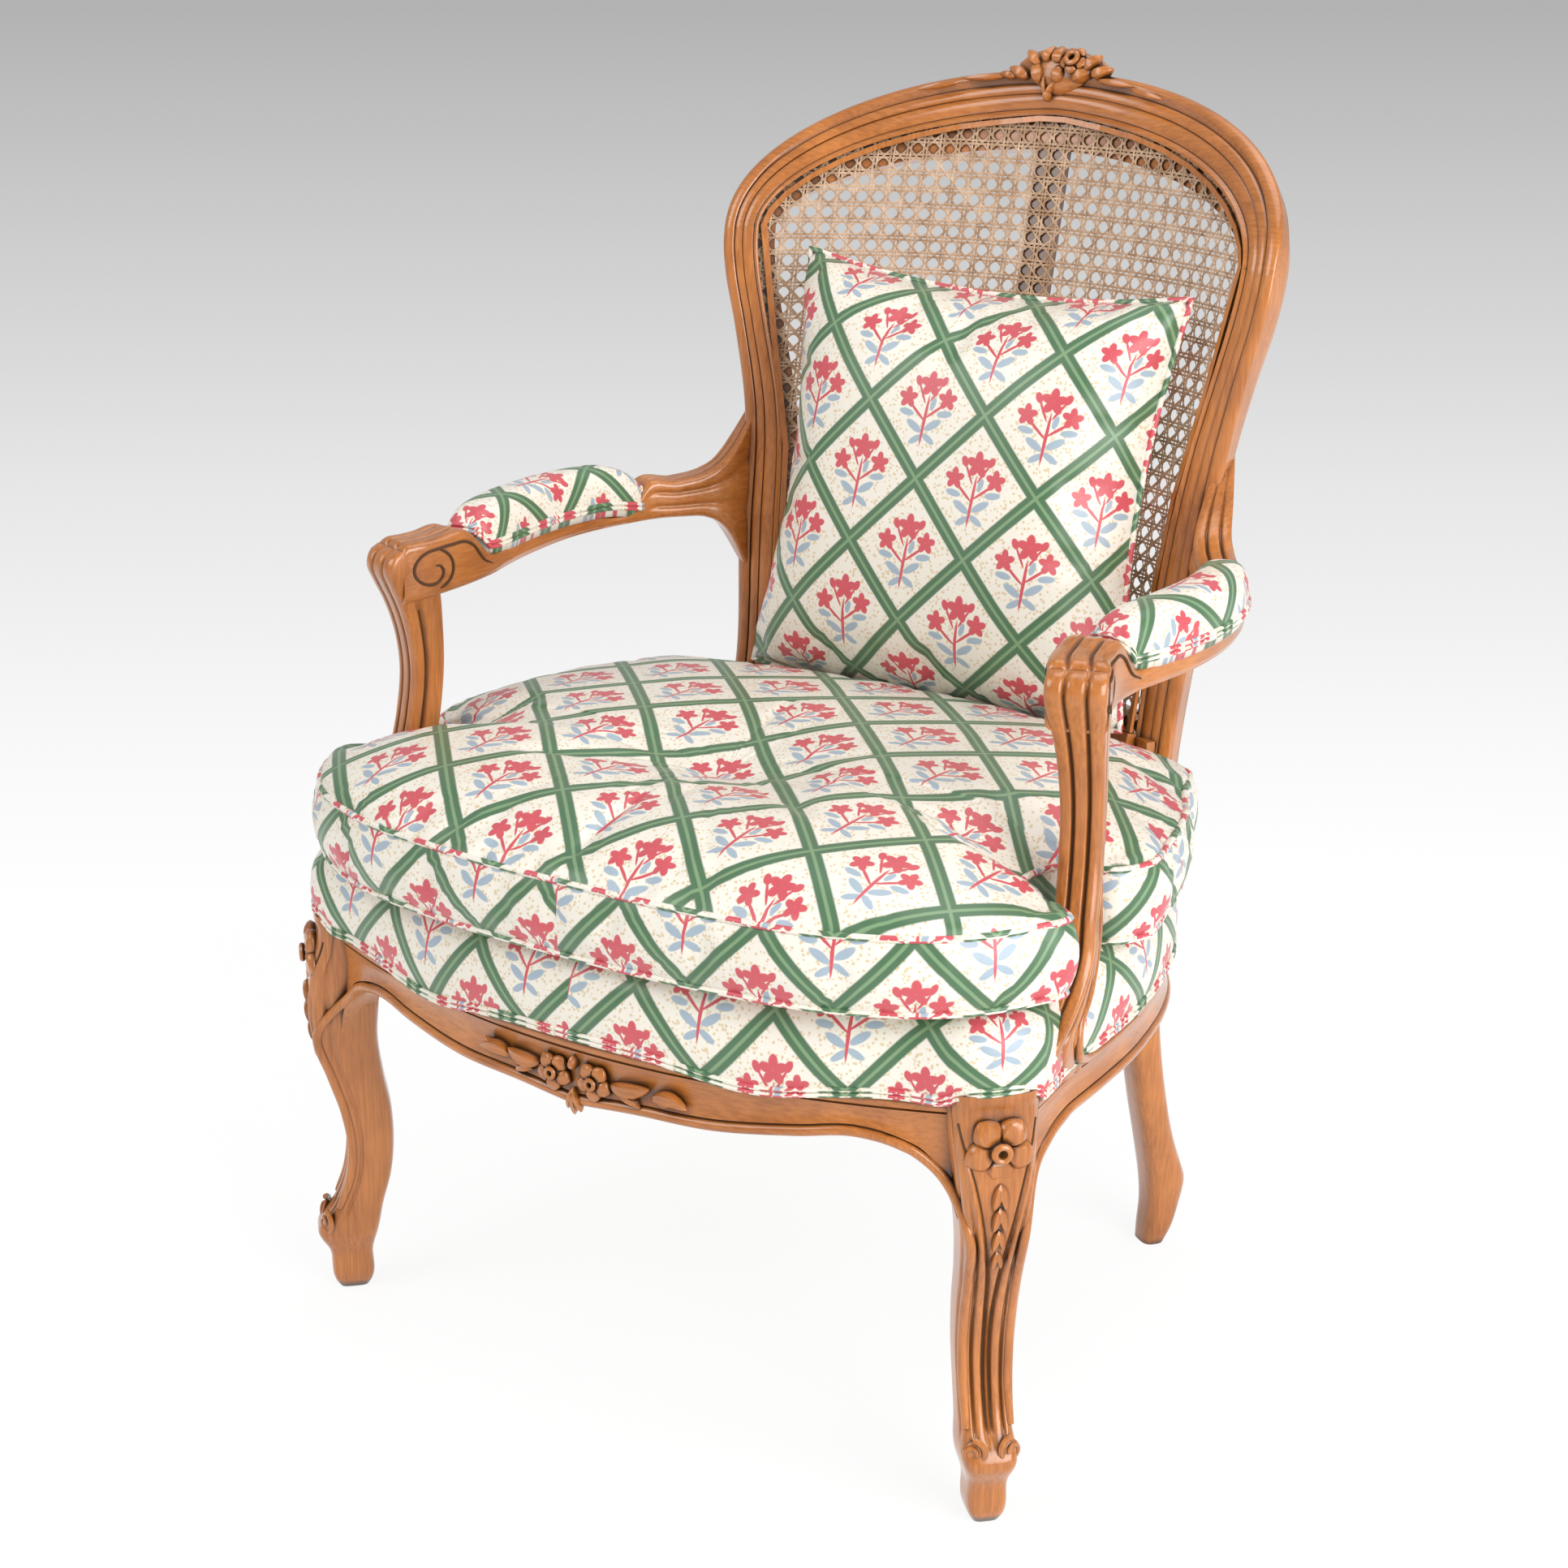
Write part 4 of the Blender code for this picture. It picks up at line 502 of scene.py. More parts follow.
def piece(name, shapes, finish, body="frame", nodes=(), weld=0.0, sharp=40.0):
    """One object from several shapes, riding on a body and standing for CAD nodes."""
    faces, flats, base = [], [], 0
    for points, shape_faces, shape_flats in shapes:
        for face, flat in zip(shape_faces, shape_flats):
            faces.extend((face + base).tolist())
            flats.append(flat.reshape(-1, 2))
        base += len(points)
    mesh = bpy.data.meshes.new(name)
    mesh.from_pydata(np.vstack([shape[0] for shape in shapes]).tolist(), [], faces)
    mesh.uv_layers.new(name="cloth").data.foreach_set("uv", np.vstack(flats).ravel())
    bm = bmesh.new()
    bm.from_mesh(mesh)
    if weld:
        bmesh.ops.remove_doubles(bm, verts=bm.verts, dist=weld)
    bmesh.ops.recalc_face_normals(bm, faces=bm.faces)
    bm.to_mesh(mesh)
    bm.free()
    mesh.shade_smooth()
    mesh.set_sharp_from_angle(angle=math.radians(sharp))
    item = bpy.data.objects.new(name, mesh)
    bpy.context.scene.collection.objects.link(item)
    mesh.materials.append(finish)
    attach(item, body)
    if nodes:
        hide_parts(*nodes)
    return item


def tube(path, radius, closed=False, sides=8, up=(0.0, 0.0, 1.0)):
    """Round cord along a path: a circle in the plane across the path at each point.

    The cloth runs along the cord in u and round it in v.
    """
    path = np.asarray(path, float)
    if closed:
        along = np.roll(path, -1, axis=0) - np.roll(path, 1, axis=0)
    else:
        along = np.gradient(path, axis=0)
    along = unit(along)
    across = unit(np.cross(along, up))
    rise = np.cross(across, along)
    turn = np.linspace(0.0, 2 * math.pi, sides, endpoint=False)
    radius = np.broadcast_to(np.asarray(radius, float), len(path))[:, None, None]
    ring = across[:, None] * np.cos(turn)[:, None] + rise[:, None] * np.sin(turn)[:, None]
    points = path[:, None] + radius * ring
    loop = np.vstack([path, path[:1]]) if closed else path
    run = run_along(loop)
    girth = np.linspace(0.0, 2 * math.pi, sides + 1) * float(radius.mean())
    uv = np.stack(np.meshgrid(run, girth, indexing="ij"), axis=-1)
    if not closed:
        return grid(points, around=True, caps=True, uv=uv)
    # A closed cord has its first ring once more at its end, so the pattern runs on to the seam
    points = np.concatenate([points, points[:1]])
    return grid(points, around=True, uv=uv)


def bead(points, radius, up, count=90):
    """Round bead on a smooth curve through points, thinning towards its ends."""
    points = np.asarray(points, float)
    run = run_along(points)
    share = np.linspace(0.0, 1.0, count)
    path = through(np.column_stack([run, points]), share * run[-1])
    taper = np.interp(share, (0.0, 0.15, 0.9, 1.0), (0.3, 1.0, 1.0, 0.7))
    return tube(path, radius * taper, sides=10, up=up)


def rounded(width, depth, radius, arc=5, flat=9):
    """Rounded rectangle as two arrays (row, point), counter-clockwise from the right side."""
    values = (width, depth, radius)
    width, depth, radius = (np.atleast_1d(np.asarray(value, float))[:, None] for value in values)
    half_u, half_v = width / 2 - radius, depth / 2 - radius
    u, v = [], []
    line = np.linspace(-1.0, 1.0, flat + 2)[1:-1]
    for quarter in range(4):
        turn = math.pi / 2 * (quarter + np.linspace(0.0, 1.0, arc + 1))
        side_u, side_v = ((1, 1), (-1, 1), (-1, -1), (1, -1))[quarter]
        flat_u, flat_v = ((1, 0), (0, 1), (-1, 0), (0, -1))[quarter]
        run_u, run_v = ((0, 1), (-1, 0), (0, -1), (1, 0))[quarter]
        u.append(flat_u * width / 2 + run_u * half_u * line)
        v.append(flat_v * depth / 2 + run_v * half_v * line)
        u.append(side_u * half_u + radius * np.cos(turn))
        v.append(side_v * half_v + radius * np.sin(turn))
    return np.hstack(u), np.hstack(v)


def back_y(x, z):
    """Front face of the back: a concave cylinder that leans back with height."""
    hollow = np.sqrt(BACK_RADIUS**2 - np.square(x)) - math.sqrt(BACK_RADIUS**2 - BACK_ANCHOR_X**2)
    return BACK_ANCHOR_Y - (BACK_ANCHOR_Z - z) * BACK_RAKE + hollow


def back_point(x, z, d, kick=0.0):
    """Point d behind the front face of the back, square to its curve and its rake."""
    x, z, d, kick = np.broadcast_arrays(np.asarray(x, float), z, d, kick)
    sine = x / BACK_RADIUS
    fall = BACK_RAKE * ease(RAKE_STARTS, RAKE_FULL, z)
    y = back_y(x, z) + kick + d * np.sqrt(1 - sine**2)
    return np.stack([x + d * sine, y, z - d * fall], axis=-1)


def arch(half_width, rise, power, angle):
    """Superellipse arch standing on the joint line."""
    c, s = np.cos(angle), np.abs(np.sin(angle))
    x = half_width * np.sign(c) * np.abs(c) ** (2 / power)
    return x, JOINT_Z + rise * s ** (2 / power)


def opening_half(z):
    """Half width of the cane opening at a height."""
    z = np.asarray(z, float)
    rise = np.clip((z - JOINT_Z) / OPENING_RISE, 0.0, 1.0)
    above = OPENING_ROWS[-1][1] * (1 - rise**OPENING_POWER) ** (1 / OPENING_POWER)
    below = through(OPENING_ROWS, z.ravel())[:, 0].reshape(z.shape)
    return np.where(z > JOINT_Z, above, below)


def moulding(width, face, depth, relief, turn, rebate):
    """Section of the back frame as distance from the outer edge and depth, one row each.

    Round outer roll, quirk, small round, quirk, broad ovolo, deep groove, lip, ledge, back.
    Where the relief is nought the section is a soft square.
    """
    values = (width, face, depth, relief, turn, rebate)
    width, face, depth, relief, turn, rebate = (np.asarray(v, float)[:, None] for v in values)
    r = np.minimum(FRAME_ROLL, FRAME_ROLL_SHARE * face)
    roll = np.radians(np.linspace(-35.0, 140.0, 12))
    share = np.linspace(0.0, 1.0, 9)
    across = [
        0.24 * face,
        r * (1 - np.cos(roll)),
        0.300 * face,
        face * (0.320 + 0.190 * share),
        0.530 * face,
        face * (0.555 + 0.270 * share),
        0.862 * face,
        face * (0.892 + 0.090 * share[::4]),
        face,
        face,
        width,
        width,
        width - 0.0030,
        0.57 * face,
    ]
    cut = [
        0.75 * r * np.ones_like(share[:1]),
        0.14 * r + 0.18 * r * (1 - np.sin(math.pi * share) ** 0.7),
        0.60 * r * np.ones_like(share[:1]),
        0.22 * r + 0.55 * r * share**2 + 0.25 * r * (1 - share) ** 4,
        0.95 * r * np.ones_like(share[:1]),
        0.45 * r + 0.25 * r * (2 * share[::4] - 1) ** 2,
        0.75 * r,
    ]
    deep = [0.62 * depth, r * (1 - np.sin(roll)), *(relief * value for value in cut)]
    deep += [rebate, rebate, depth - 0.0030, depth, depth]
    across, deep = np.hstack(across), np.hstack(deep)
    deep = deep + turn * np.clip(face - across, 0.0, None)
    u, v = soft_square(3.0, across.shape[1])
    first = -round(0.38 * len(u))
    plain_across = width / 2 * (1 + np.roll(u, first))
    plain_deep = depth / 2 * (1 + np.roll(v, first))
    across = relief * across + (1 - relief) * plain_across
    return across, relief * deep + (1 - relief) * plain_deep


def stile(side):
    """Stile and rear leg: the frame section carried up the back, plain below the seat."""
    z = np.linspace(0.0, JOINT_Z, 150)
    outer, inner, kick, depth = through(STILE_ROWS, z).T
    relief = ease(RELIEF_STARTS, RELIEF_FULL, z)
    face = relief * (outer - opening_half(z)) + (1 - relief) * (outer - inner)
    cane_at = ease(OPENING_BOTTOM - REBATE_BLEND, OPENING_BOTTOM, z)
    rebate = REBATE_LIP + (REBATE_DEPTH - REBATE_LIP) * cane_at
    across, deep = moulding(outer - inner, face, depth, relief, FACE_TURN * relief, rebate)
    points = back_point(outer[:, None] - across, z[:, None], deep, kick[:, None])
    points[..., 0] *= side
    return points


def crest():
    """Crest rail: the frame section carried round the arch from joint to joint."""
    angle = np.linspace(0.0, math.pi, 141)
    outer_x, outer_z = arch(STILE_ROWS[-1][1], ARCH_RISE, ARCH_POWER, angle)
    inner_x, inner_z = arch(STILE_ROWS[-1][2], LEDGE_RISE, OPENING_POWER, angle)
    edge_x, edge_z = arch(OPENING_ROWS[-1][1], OPENING_RISE, OPENING_POWER, angle)
    width = np.hypot(outer_x - inner_x, outer_z - inner_z)
    face = np.hypot(outer_x - edge_x, outer_z - edge_z)
    one = np.ones_like(angle)
    turn = FACE_TURN * np.abs(np.cos(angle))
    across, deep = moulding(width, face, FRAME_DEPTH * one, one, turn, REBATE_DEPTH * one)
    share = across / width[:, None]
    x = outer_x[:, None] + (inner_x - outer_x)[:, None] * share
    z = outer_z[:, None] + (inner_z - outer_z)[:, None] * share
    return back_point(x, z, deep)


def back_axes(x, z):
    """Point of the back's front face, with the directions out of it and up it."""
    place = back_point(x, z, 0.0)
    return place, unit(back_point(x, z, -0.01) - place), unit(back_point(x, z + 0.01, 0.0) - place)


def crest_carving():
    """Cluster of petals, a rose and a forked stem in the middle of the crest, with trailing leaves."""
    shapes = []
    for x, z, turn, length, width, height, sink in CREST_LEAVES:
        place, out, up = back_axes(x, z)
        right = np.cross(up, out)
        along = math.cos(math.radians(turn)) * up + math.sin(math.radians(turn)) * right
        start = place - 0.5 * length * along - sink * out
        shapes.append(blade(start, along, out, (length, width, height), vein=0.22))
    place, out, up = back_axes(*CREST_ROSE)
    facing = out + 0.4 * up
    return shapes + rosette(place + CREST_ROSE_OUT * out, facing, up, CREST_ROSE_RADIUS, CREST_ROSE_RING)


def strand(run_a, run_b, width, layer, wave, phase):
    """Flat cane strand from one point of the net to another, over and under its neighbours.

    run_a and run_b are (distance round the back, distance up it); layer is the strand's depth
    behind the first ones, wave the length of one over-and-under and phase where it starts.
    """
    run_a, run_b = np.asarray(run_a), np.asarray(run_b)
    reach = np.linalg.norm(run_b - run_a)
    count = max(int(reach / wave * 4), 2)
    share = np.linspace(0.0, 1.0, count + 1)[:, None]
    place = run_a + (run_b - run_a) * share
    along = (run_b - run_a) / reach
    across = np.array([-along[1], along[0]]) * width / 2
    rise = CANE_RISE * np.sin(2 * math.pi * (place @ along) / wave + phase)
    section = ((-1.0, 0.0), (0.0, -CANE_ABOVE), (1.0, 0.0), (0.0, CANE_BELOW))
    rings = []
    for sideways, out in section:
        a, b = (place + sideways * across).T
        x, z = BACK_RADIUS * np.sin(a / BACK_RADIUS), OPENING_BOTTOM + b / SLOPE
        rings.append(back_point(x, z, CANE_DEPTH + layer + rise + out))
    return grid(np.stack(rings, axis=1), around=True, caps=True)


def inside_net(a, b):
    """Whether points of the net, as distance round the back and up it, lie in the opening."""
    z = OPENING_BOTTOM + b / SLOPE
    x = np.abs(BACK_RADIUS * np.sin(a / BACK_RADIUS))
    return (x < opening_half(z) + 0.0005) & (b > 0.0) & (z < JOINT_Z + OPENING_RISE)


def net_lines(direction, offsets):
    """Ends of the net's lines in one direction that lie in the opening, as pairs of points."""
    along = unit(direction)
    across = np.array([-along[1], along[0]])
    run = np.linspace(-NET_REACH, NET_REACH, NET_POINTS)
    ends = []
    for offset in offsets:
        place = offset * across + run[:, None] * along
        within = np.flatnonzero(inside_net(place[:, 0], place[:, 1]))
        if len(within) > NET_SHORTEST:
            ends.append((place[within[0]], place[within[-1]]))
    return ends


def soft_square(power, count):
    """Closed superellipse of half width 1, at equal shares of its length, as two arrays."""
    turn = np.linspace(0.0, 2 * math.pi, 4001)
    u, v = (np.sign(wave) * np.abs(wave) ** (2 / power) for wave in (np.cos(turn), np.sin(turn)))
    run = run_along(np.column_stack([u, v]))
    at = np.linspace(0.0, run[-1], count, endpoint=False)
    return np.interp(at, run, u), np.interp(at, run, v)


def blade(start, along, out, size, bend=0.0, vein=0.35):
    """Carved leaf or petal: ellipse rings along a bent spine, hollowed along the middle.

    size is (length, width, height); half width and height follow sines of the share along it.
    """
    length, width, height = size
    out, along = unit(out), unit(along)
    along = unit(along - out * (along @ out))
    across = np.cross(out, along)
    t = np.linspace(0.015, 0.985, 13)[:, None]
    spine = np.asarray(start) + length * t * along + bend * length * (t * t - t) * across
    half = width / 2 * np.sin(math.pi * t**0.85) ** 0.7
    rise = height * np.sin(math.pi * t**0.75) ** 0.6
    turn = np.linspace(0.0, 2 * math.pi, 14, endpoint=False)
    hollow = 1 - vein * np.exp(-(((turn - math.pi / 2) / 0.45) ** 2))
    flat = half[..., None] * np.cos(turn)[:, None] * across
    proud = rise[..., None] * (np.sin(turn) * hollow)[:, None] * out
    return grid(spine[:, None] + (flat + proud), around=True, caps=True)


def rosette(centre, out, up, radius, ring):
    """Carved five-petal flower: petals about a raised ring."""
    out = unit(out)
    up = unit(up - out * (np.asarray(up) @ out))
    right = np.cross(up, out)
    size = (radius - 0.75 * ring, 0.86 * radius, 0.30 * radius)
    shapes = []
    for turn in np.arange(5) * 2 * math.pi / 5 + math.pi:
        along = math.cos(turn) * up + math.sin(turn) * right
        shapes.append(blade(centre + 0.75 * ring * along, along, out, size))
    turn = np.linspace(0.0, 2 * math.pi, 20, endpoint=False)[:, None]
    path = centre + 0.30 * radius * out + 0.72 * ring * (np.cos(turn) * up + np.sin(turn) * right)
    shapes.append(tube(path, 0.34 * ring, closed=True, up=out))
    return shapes


def volute(centre, out, up, radius, hand):
    """Carved volute: a low boss wound round by a closing cord."""
    out = unit(out)
    up = unit(np.asarray(up) - out * (np.asarray(up) @ out))
    right = hand * np.cross(up, out)
    t = np.linspace(0.0, 1.0, 50)[:, None]
    turn = math.pi * (0.5 - 2.6 * t)
    wound = radius * (1 - 0.72 * t) * (np.cos(turn) * right + np.sin(turn) * up)
    path = centre + wound + 0.20 * radius * out * (0.4 + t)
    cord = tube(path, radius * np.linspace(0.24, 0.16, 50), sides=8, up=out)
    size = (1.8 * radius, 1.8 * radius, 0.35 * radius)
    boss = blade(centre - 0.9 * radius * up, up, out, size, vein=0.0)
    return [cord, boss]


def leg_frame(side):
    """Outward and sideways directions of a front leg, which faces the diagonal."""
    return np.array([side, -1.0, 0.0]) / math.sqrt(2), np.array([1.0, side, 0.0]) / math.sqrt(2)


def leg_place(side, height, u, v):
    """Point of a front leg at a height: u of its half depth outwards, v of its half width across."""
    outward, across = leg_frame(side)
    bow, thick, wide = through(LEG_ROWS, height)[0]
    middle = np.array([side * FOOT_X, FOOT_Y, height])
    return middle + (bow + u * thick / 2) * outward + v * wide / 2 * across


def front_leg(side):
    """Cabriole leg faced to the diagonal: a soft square whose outer face carries a panel that
    narrows down from the knee between grooves, with a quirk down each side."""
    ankle = GROOVES_FROM[1]
    z = np.concatenate([np.linspace(0.0, ankle, 40, endpoint=False), np.linspace(ankle, KNEE_TOP, 110)])
    bow, thick, wide = (value[:, None] for value in through(LEG_ROWS, z).T)
    share_u, share_v = soft_square(LEG_POWER, 200)
    inner, outer = (value[:, None] for value in through(LEG_GROOVES, z).T)
    height = z[:, None]
    on = ease(*GROOVES_FROM, height)
    ahead, beside = share_u > OUTER_FACE, np.abs(share_v) > SIDE_FACE
    across = np.abs(share_v)
    cut = groove(across, inner, INNER_GROOVE, LEG_QUIRK)
    cut = cut + groove(across, outer, OUTER_GROOVE, OUTER_GROOVE_DEPTH)
    panel = ease(inner, inner - PANEL_EDGE, across) * ease(*PANEL_FROM, height) * ease(*PANEL_TO, height)
    cut = cut + PANEL_SINK * panel
    u = share_u * thick / 2 - cut * ahead * on
    v = share_v * wide / 2 - np.sign(share_v) * groove(share_u, *SIDE_QUIRK) * beside * on
    outward, sideways = leg_frame(side)
    points = (bow + u)[..., None] * outward + v[..., None] * sideways + (side * FOOT_X, FOOT_Y, 0.0)
    points[..., 2] = height
    return grid(points, around=True, caps=True)


def leg_carving(side):
    """Flower and chain of husks on the knee, volutes at the foot."""
    outward, across = leg_frame(side)
    up = np.array([0.0, 0.0, 1.0])
    flower = leg_place(side, KNEE_FLOWER_Z, 0.88, 0.0)
    shapes = rosette(flower, outward, up, KNEE_FLOWER, KNEE_RING)
    for number, share in enumerate(HUSK_SHARES):
        start = leg_place(side, HUSK_Z - HUSK_STEP * number, 0.90, 0.0)
        size = share * np.array(HUSK_SIZE)
        for lean in (-HUSK_LEAN, HUSK_LEAN):
            shapes.append(blade(start, lean * across - up, outward, size))
    for hand in (-1.0, 1.0):
        place = leg_place(side, FOOT_VOLUTE_Z, 0.84, 0.66 * hand)
        shapes += volute(place, outward + 0.45 * hand * across, up, FOOT_VOLUTE, -side * hand)
    return shapes


def leg_lines(side):
    """Dark lines in the two grooves down a front leg's outer face."""
    outward, across = leg_frame(side)
    z = np.linspace(*LEG_LINES, 70)
    bow, thick, wide = (value[:, None] for value in through(LEG_ROWS, z).T)
    inner = through(LEG_GROOVES, z)[:, :1]
    u = (1 - inner**LEG_POWER) ** (1 / LEG_POWER) * thick / 2 - LEG_QUIRK
    shapes = []
    for hand in (-1.0, 1.0):
        path = (bow + u) * outward + hand * inner * wide / 2 * across + (side * FOOT_X, FOOT_Y, 0.0)
        path[:, 2] = z
        shapes.append(tube(path, QUIRK_LINE, sides=6, up=outward))
    return shapes


def leg_beads(side):
    """Beads that run off the lower edges of the two rails and down the edges of a front leg."""
    outward, _ = leg_frame(side)
    x, y = np.array(BEAD_X), np.array(BEAD_Y)
    front = (side * x, front_face(x) + BEAD_INSIDE, through(FRONT_EDGE_ROWS, x)[:, 0] + BEAD_ABOVE)
    flank = (side * (side_face(y) - BEAD_INSIDE), y, through(SIDE_EDGE_ROWS, y)[:, 0] + BEAD_ABOVE)
    shapes = []
    for rail, hand in ((front, -side), (flank, side)):
        down = [leg_place(side, height, BEAD_OUT, BEAD_ACROSS * hand) for height in BEAD_HEIGHTS]
        shapes.append(bead(np.vstack([np.column_stack(rail), down]), LEG_BEAD, outward))
    return shapes


def front_face(x):
    """Plan of the front rail: a bow."""
    return FRONT_Y + FRONT_BOW * np.square(np.asarray(x) / FRONT_HALF)


def rail_section(low):
    """Rail section as inward distance and height: bead, quirk, cove, quirk, fillet, rebate, back."""
    low = np.asarray(low, float)[:, None]
    one = np.ones_like(low)
    turn = np.radians(np.linspace(-90.0, 80.0, 9))
    share = np.linspace(0.0, 1.0, 9)
    r = 0.72 * RAIL_BEAD
    foot, head = low + 2 * r + 0.0014, SHOW_TOP - RAIL_FILLET
    inset = [RAIL_THICK * one, r * (1 - np.cos(turn)) * one, 0.0046 * one]
    inset += [(0.0026 + 0.0022 * np.sin(math.pi * share)) * one, 0.0044 * one]
    inset += [(0.0022 - 0.0020 * np.sin(math.pi * share) ** 0.6) * one]
    inset += [RAIL_REBATE * one, RAIL_REBATE * one, RAIL_THICK * one]
    height = [low + RAIL_BEAD / 3, low + r + r * np.sin(turn), low + 2 * r]
    height += [foot + (head - 0.0016 - foot) * share, (head - 0.0006) * one]
    height += [(head + (RAIL_FILLET - 0.0004) * share) * one]
    height += [SHOW_TOP * one, RAIL_TOP * one, RAIL_TOP * one]
    return np.hstack(inset), np.hstack(height)


def front_rail():
    """Front rail: the rail section carried along the bow, over its shaped lower edge."""
    reach = FRONT_HALF + RAIL_REACH
    x = np.linspace(-reach, reach, 121)
    inset, height = rail_section(through(FRONT_EDGE_ROWS, np.abs(x))[:, 0])
    slope = 2 * FRONT_BOW * x / FRONT_HALF**2
    inward = unit(np.stack([-slope, np.ones_like(x)], axis=-1))
    plan = np.stack([x, front_face(x)], axis=-1)[:, None] + inset[..., None] * inward[:, None]
    return np.dstack([plan, height])


def rail_carving():
    """Two flowers, leaves that trail from them along the front rail, and a fluted drop between."""
    up, out = np.array([0.0, 0.0, 1.0]), np.array([0.0, -1.0, 0.0])
    shapes = []
    for x in RAIL_FLOWERS_X:
        centre = np.array([x, front_face(x) + 0.0010, RAIL_FLOWERS_Z])
        shapes += rosette(centre, out, up, RAIL_FLOWER, RAIL_RING)
    for x, z, turn, length, width, bend in RAIL_LEAVES:
        along = np.array([math.cos(math.radians(turn)), 0.0, math.sin(math.radians(turn))])
        size = (length, width, RAIL_LEAF_HEIGHT)
        shapes.append(blade((x, front_face(x) + 0.0020, z), along, out, size, bend))
    return shapes


def side_face(y):
    """Half width of the seat at a distance along the chair."""
    return through(SIDE_ROWS, y)[:, 0]


def side_inward(y, side):
    """Direction square to a side rail's face, into the seat."""
    slope = (side_face(y + 0.002) - side_face(y - 0.002)) / 0.004
    return unit(np.stack([np.full_like(slope, -side), slope], axis=-1))


def side_rail(side):
    """Side rail: the rail section carried along the curve of the seat."""
    y = np.linspace(SIDE_START_Y, SIDE_END_Y, 90)
    inset, height = rail_section(through(SIDE_EDGE_ROWS, y)[:, 0])
    plan = np.stack([side * side_face(y), y], axis=-1)[:, None]
    plan = plan + inset[..., None] * side_inward(y, side)[:, None]
    return np.dstack([plan, height])


def quirk_lines(points, columns, rows, radius):
    """Dark lines along the bottoms of a moulding's quirks, which are columns of its grid."""
    return [tube(points[rows, column], radius, sides=6, up=(0.0, 1.0, 0.1)) for column in columns]


def arm_path(station, side):
    """Centre, sideways direction, top, bottom and width of the arm at stations."""
    station = np.asarray(station, float)
    x, y, top, bottom, width = through(ARM_ROWS, station).T
    ahead = through(ARM_ROWS, np.minimum(station + 0.02, 1.0))[:, :2]
    behind = through(ARM_ROWS, np.maximum(station - 0.02, 0.0))[:, :2]
    along = unit(ahead - behind)
    tip = np.clip(1 - station / 0.07, 0.0, 1.0)[:, None]
    along = unit(along * (1 - tip) + tip * np.array([-math.sin(ARM_TIP_TURN), math.cos(ARM_TIP_TURN)]))
    sideways = np.stack([along[:, 1], -along[:, 0]], axis=-1) * np.array([side, 1.0])
    return np.stack([side * x, y], axis=-1), sideways, top, bottom, width


def post_turn(z):
    """Cosine and sine of a post's turn outwards, which dies away at its foot."""
    turn = POST_TURN * ease(*POST_TURN_FROM, z)
    return np.cos(turn), np.sin(turn)


def groove(at, place, half, depth):
    """Bell-shaped groove across a face."""
    return depth * np.exp(-(((at - place) / half) ** 2))


def reeds(share):
    """Depth of the two quirks that part a face into three reeds, across it from -1 to 1."""
    share = np.abs(share)
    return groove(share, REED_AT, 0.085, REED_QUIRK) + 0.0012 * np.clip(share - REED_AT, 0.0, None)


def arm(side):
    """Arm: a soft rectangle along a curve, reeded at both ends, with a quirk along its foot.

    The nose is rounded over by a quarter circle; the rear end flares and leans back with the stile.
    """
    tip = np.linspace(0.0, ARM_FINE, 90, endpoint=False)
    station = np.concatenate([tip, np.linspace(ARM_FINE, 1.0, 110)])
    centre, sideways, top, bottom, width = arm_path(station, side)
    run = run_along(centre)
    short = np.clip(ARM_NOSE - run, 0.0, None)
    top = top - (ARM_NOSE - np.sqrt(ARM_NOSE**2 - short**2))
    u, v = rounded(width, top - bottom, np.full_like(width, ARM_ROUND), flat=31)
    half, tall = (width / 2)[:, None], ((top - bottom) / 2)[:, None]
    rear = ease(*REAR_REEDS, station)[:, None]
    reeded = np.maximum(ease(*FRONT_REEDS, station)[:, None], rear)
    above, beside = v > tall - 0.25 * ARM_ROUND, np.abs(u) > half - 0.25 * ARM_ROUND
    cut = rear * sum(groove(v / tall, *quirk) for quirk in REAR_QUIRKS)
    ahead = (1 - rear) * groove(v / tall, *FOOT_QUIRK)
    cut = cut + ahead * ease(*FOOT_QUIRK_FROM, station)[:, None]
    u, v = u - np.sign(u) * cut * beside, v - reeds(u / half) * above * reeded
    plan = centre[:, None] + u[..., None] * sideways[:, None]
    points = np.dstack([plan, ((top + bottom) / 2)[:, None] + v])
    lean = ease(*REAR_LEAN, station)[:, None] * (points[..., 2] - ARM_REAR_Z)
    points = points + lean[..., None] * np.array([side * STILE_SPLAY, BACK_RAKE, 0.0])
    return grid(points, around=True, caps=True)


